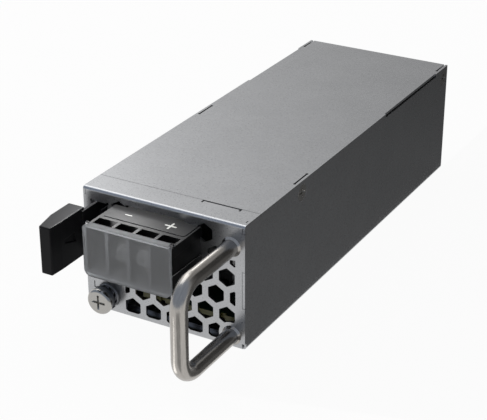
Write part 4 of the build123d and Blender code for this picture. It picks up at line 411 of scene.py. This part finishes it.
print("ink ready:", ink.name)

# %% [markdown]
# ## Printing the marks
# An outline becomes a thin body in three steps of mesh code: one face from its corners, that face pushed
# up by the ink's thickness, and all faces turned to look outwards. Each mark then rides on the case, so it
# stays on the block whatever moves.

# %% Marks on the terminal block
def print_mark(name, outline):
    """Thin raised print made from one outline."""
    mesh = bpy.data.meshes.new(name)
    build = bmesh.new()
    face = build.faces.new([build.verts.new((x, y, BLOCK_TOP_Z)) for x, y in outline])
    lifted = bmesh.ops.extrude_face_region(build, geom=[face])["geom"]
    top_corners = [v for v in lifted if isinstance(v, bmesh.types.BMVert)]
    bmesh.ops.translate(build, vec=(0, 0, INK_LAYER), verts=top_corners)
    bmesh.ops.recalc_face_normals(build, faces=build.faces)
    build.to_mesh(mesh)
    build.free()
    mesh.materials.append(ink)
    mark = bpy.data.objects.new(name, mesh)
    bpy.context.scene.collection.objects.link(mark)
    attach(mark, "case")
    print(name, len(mesh.polygons), "faces")


print_mark("positive_mark", plus_outline(PLUS_CENTRE, PLUS_HALF_LENGTH, PLUS_HALF_STROKE))
print_mark("negative_mark", stroke_outline(MINUS_CENTRE, MINUS_HALF_LENGTH, MINUS_HALF_STROKE))

# %% [markdown]
# ## The floor
# Metal shows its surroundings more than its own colour, so what stands round it is as much a part of
# its look as its finish. The floor is white to the camera and in reflections, and keeps a faint shadow.
# To light that only bounces, it is a mid grey, so that it doesn't flood the shaded side. The Light Path
# node tells these kinds of ray apart.

# %% Floor
WHITE = "#FFFFFF"
BOUNCE_GREY = "#8C8C8C"
OWN_LIGHT = 0.95
FLOOR_HALF = 3
FLOOR_CORNERS = [(FLOOR_HALF * x, FLOOR_HALF * y, 0) for x, y in ((-1, -1), (1, -1), (1, 1), (-1, 1))]


def sheet_object(name, corners, material):
    """Flat sheet that belongs to the studio, and not to the part."""
    mesh = bpy.data.meshes.new(name)
    mesh.from_pydata([Vector(c) for c in corners], [], [tuple(range(len(corners)))])
    mesh.materials.append(material)
    thing = bpy.data.objects.new(name, mesh)
    bpy.context.scene.collection.objects.link(thing)
    return thing


floor_paint = bpy.data.materials.new("studio_floor_paint")
floor_paint.use_nodes = True
tree = floor_paint.node_tree
tree.nodes.clear()
rays = add(tree, "ShaderNodeLightPath")
seen = add(tree, "ShaderNodeMath", links={0: rays.outputs["Is Camera Ray"], 1: rays.outputs["Is Glossy Ray"]},
           operation="MAXIMUM")
seen = add(tree, "ShaderNodeMath", links={0: seen.outputs[0], 1: rays.outputs["Is Transmission Ray"]},
           operation="MAXIMUM")
share = add(tree, "ShaderNodeMath", {1: OWN_LIGHT}, {0: seen.outputs[0]}, operation="MULTIPLY")
tone = add(tree, "ShaderNodeMix", {COLOUR_A: linear(BOUNCE_GREY), COLOUR_B: linear(WHITE)},
           {FACTOR: seen.outputs[0]}, data_type="RGBA")
matt = add(tree, "ShaderNodeBsdfDiffuse", links={"Color": tone.outputs[COLOUR_OUT]})
white = add(tree, "ShaderNodeEmission", {"Color": linear(WHITE), "Strength": 1.0})
mixed = add(tree, "ShaderNodeMixShader", links={0: share.outputs[0], 1: matt.outputs[0], 2: white.outputs[0]})
add(tree, "ShaderNodeOutputMaterial", links={"Surface": mixed.outputs[0]})
floor = sheet_object("floor", FLOOR_CORNERS, floor_paint)
print("floor", floor.dimensions[:])

# %% [markdown]
# ## The world
# The world is white to the camera and gives a low, even fill to matt surfaces. In reflections it is a
# room: a blue-grey wall in front, and behind the part a wall that is brightest at the upper left, which
# makes the top of the case fall off towards the rear and gives the front its cooler grey.

# %% World
FILL_LIGHT = (0.4, 0.4, 0.4, 1.0)
FRONT_WALL = "#A2ACBC"
BRIGHT_CORNER = (-1.2, 0.0, 0.9)
REAR_WALL = {"From Min": 0.7, "From Max": 1.05, "To Min": 0.42, "To Max": 1.0}
FRONT_TO_REAR = {"From Min": -0.15, "From Max": 0.35}
world = bpy.data.worlds.new("studio_world")
bpy.context.scene.world = world
world.use_nodes = True
tree = world.node_tree
tree.nodes.clear()
rays = add(tree, "ShaderNodeLightPath")
seen = add(tree, "ShaderNodeMath", operation="MAXIMUM",
           links={0: rays.outputs["Is Camera Ray"], 1: rays.outputs["Is Transmission Ray"]})
direction = add(tree, "ShaderNodeTexCoord").outputs["Generated"]
toward = add(tree, "ShaderNodeVectorMath", {1: BRIGHT_CORNER}, {0: direction}, operation="DOT_PRODUCT")
wall = add(tree, "ShaderNodeMapRange", REAR_WALL, {"Value": toward.outputs["Value"]})
depth = add(tree, "ShaderNodeSeparateXYZ", links={0: direction}).outputs["Y"]
behind = add(tree, "ShaderNodeMapRange", FRONT_TO_REAR, {"Value": depth}, interpolation_type="SMOOTHSTEP")
room = add(tree, "ShaderNodeMix", {COLOUR_A: linear(FRONT_WALL)},
           {FACTOR: behind.outputs[0], COLOUR_B: wall.outputs[0]}, data_type="RGBA")
bounced = add(tree, "ShaderNodeMix", {COLOUR_A: FILL_LIGHT},
              {FACTOR: rays.outputs["Is Glossy Ray"], COLOUR_B: room.outputs[COLOUR_OUT]}, data_type="RGBA")
shown = add(tree, "ShaderNodeMix", {COLOUR_B: linear(WHITE)},
            {FACTOR: seen.outputs[0], COLOUR_A: bounced.outputs[COLOUR_OUT]}, data_type="RGBA")
sky = add(tree, "ShaderNodeBackground", {"Strength": 1.0}, {"Color": shown.outputs[COLOUR_OUT]})
add(tree, "ShaderNodeOutputWorld", links={"Surface": sky.outputs[0]})
print("world", len(tree.nodes), "nodes")

# %% [markdown]
# ## Grey cards
# A photographer stands dark card beside a metal case so that its side goes dark and its edges read.
# The cards here are out of the camera's sight and throw no shadow; only reflections meet them. One lies
# on the floor at the right, one stands beyond it and a lighter one lies in front, for the handle. Each
# glows a little by itself, so its grey stays the same whatever the lamps do. The first two glow less
# towards the rear, which darkens the case's side along its length.

# %% Cards at the right and in front
CARD_ROUGHNESS = 0.9
CARD_LIFT = 0.0003
NEAR_Y, FAR_Y = -0.03, 0.2
ON_FLOOR = [(0.0276, -0.0972), (0.112, -0.074), (0.3, -0.074), (0.3, 0.6), (0.0276, 0.6)]
UPRIGHT = [(0.24, -0.02, 0), (0.24, 0.6, 0), (0.24, 0.6, 0.4), (0.24, -0.02, 0.4)]
IN_FRONT = [(0.0263, -0.1055), (0.0104, -0.2076), (0.0985, -0.178)]


def card_paint(name, tone, far_tone=None):
    """Matt card, lit from within by its tone, which falls off to far_tone towards the rear."""
    card, tree, shader, place = new_finish(name, "#050505", Roughness=CARD_ROUGHNESS)
    shader.inputs["Emission Color"].default_value = linear(WHITE)
    shader.inputs["Emission Strength"].default_value = tone
    if far_tone is not None:
        rear = add(tree, "ShaderNodeSeparateXYZ", links={0: place}).outputs["Y"]
        limits = {"From Min": NEAR_Y, "From Max": FAR_Y, "To Min": tone, "To Max": far_tone}
        fall_off = add(tree, "ShaderNodeMapRange", limits, {"Value": rear})
        tree.links.new(fall_off.outputs[0], shader.inputs["Emission Strength"])
    return card


def lying(corners):
    """Corners of a card that lies just above the floor."""
    return [(x, y, CARD_LIFT) for x, y in corners]


side_card = card_paint("side_card", 0.13, 0.045)
dark_card = card_paint("dark_card", 0.16, 0.03)
mid_card = card_paint("mid_card", 0.42)
cards = [
    sheet_object("card_on_floor", lying(ON_FLOOR), side_card),
    sheet_object("card_upright", UPRIGHT, dark_card),
    sheet_object("card_in_front", lying(IN_FRONT), mid_card),
]
for card in cards:
    card.visible_camera = False
    card.visible_shadow = False
    card.visible_transmission = False
print("cards", [card.name for card in cards])

# %% [markdown]
# ## Lamps
# One large soft lamp high over the left lights the top and leaves the right side in shade, and a second
# one behind it brings the top's rear edge out. Three small ones stand close to the black plastics: one
# puts the soft glow on the tops of the block and the lever, and two light the terminals and the cells
# behind the cover. Two more draw the bright lines on the handle: a strip that lies on the floor and a
# small one overhead.

# %% Lamps
BLOCK_TOP_SPOT = (-0.004, -0.079, 0.0368)
CELLS_SPOT = (-0.001, -0.08, 0.024)
ARM_SPOT = (0.0228, -0.09, 0.033)
STRIP_PLACE = (0.0049, -0.1226, 0.0006)
ABOVE_STRIP = (0.0049, -0.1226, 0.1)
LAMPS = (
    # name, place, aim, size, power in W
    ("key_lamp", (-0.42, 0.08, 0.8), (0, -0.02, 0.02), 0.6, 1.8),
    ("back_lamp", (-0.565, 0.414, 0.556), (0, -0.05, 0.03), 0.4, 0.42),
    ("glow_lamp", (-0.0318, -0.0522, 0.0716), BLOCK_TOP_SPOT, 0.02, 0.056),
    ("head_lamp", (0.03, -0.15, 0.034), CELLS_SPOT, 0.02, 0.02),
    ("cell_lamp", (-0.05, -0.135, 0.032), CELLS_SPOT, 0.015, 0.5),
    ("bar_lamp", STRIP_PLACE, ABOVE_STRIP, 0.006, 0.0014),
    ("arm_lamp", (-0.023, -0.015, 0.085), ARM_SPOT, 0.02, 0.0038),
)


def soft_lamp(name, place, aim, size, power):
    """Square soft lamp that shines from place towards aim."""
    data = bpy.data.lights.new(name, "AREA")
    data.shape = "SQUARE"
    data.size = size
    data.energy = power
    lamp = bpy.data.objects.new(name, data)
    bpy.context.scene.collection.objects.link(lamp)
    lamp.location = place
    lamp.rotation_euler = (Vector(aim) - Vector(place)).to_track_quat("-Z", "Y").to_euler()
    lamp.visible_camera = False
    return lamp


lamps = {row[0]: soft_lamp(*row) for row in LAMPS}
print("lamps in W:", {name: round(lamp.data.energy, 4) for name, lamp in lamps.items()})

# %% [markdown]
# ## The strip lamp under the handle
# The bright line on the handle's upright run has to be as long as the run. At each height the bar
# mirrors another spot of the floor, so the lamp for it is a strip that runs outward from the bar's foot.
# It faces up, and its long side is turned about Z until it points at the bar.

# %% Strip lamp
STRIP_LENGTH = 0.045
STRIP_RUN = (0.595, 0.802)
strip = lamps["bar_lamp"]
strip.data.shape = "RECTANGLE"
strip.data.size_y = STRIP_LENGTH
strip.rotation_euler = (math.pi, 0, math.atan2(STRIP_RUN[0], -STRIP_RUN[1]))
print("strip lamp", strip.data.size, "by", round(strip.data.size_y, 3), "m")

# %% [markdown]
# ## Light linking
# The small lamps would leave hot spots on the steel beside them. Light linking lets a lamp shine on
# chosen pieces only, as a photographer would with small flags of black foil. What stands in the way of
# such a lamp is chosen too: for the glow it is the lever alone, and for the others the lit pieces.

# %% Choose what the small lamps shine on
RECEIVERS = {
    "glow_lamp": ["terminal_housing", "latch_lever", "positive_mark", "negative_mark"],
    "cell_lamp": ["terminal_housing"],
    "bar_lamp": ["pull_handle"],
    "arm_lamp": ["pull_handle"],
    "head_lamp": ["terminal_clamps", "terminal_screw_negative", "terminal_screw_positive"],
}
glow_blockers = bpy.data.collections.new("glow_blockers")
glow_blockers.objects.link(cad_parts["latch_lever"])
for lamp_name, piece_names in RECEIVERS.items():
    chosen = bpy.data.collections.new(lamp_name + "_pieces")
    for name in piece_names:
        chosen.objects.link(bpy.data.objects[name])
    linking = lamps[lamp_name].light_linking
    linking.receiver_collection = chosen
    linking.blocker_collection = glow_blockers if lamp_name == "glow_lamp" else chosen
    print(lamp_name, "shines on", piece_names)
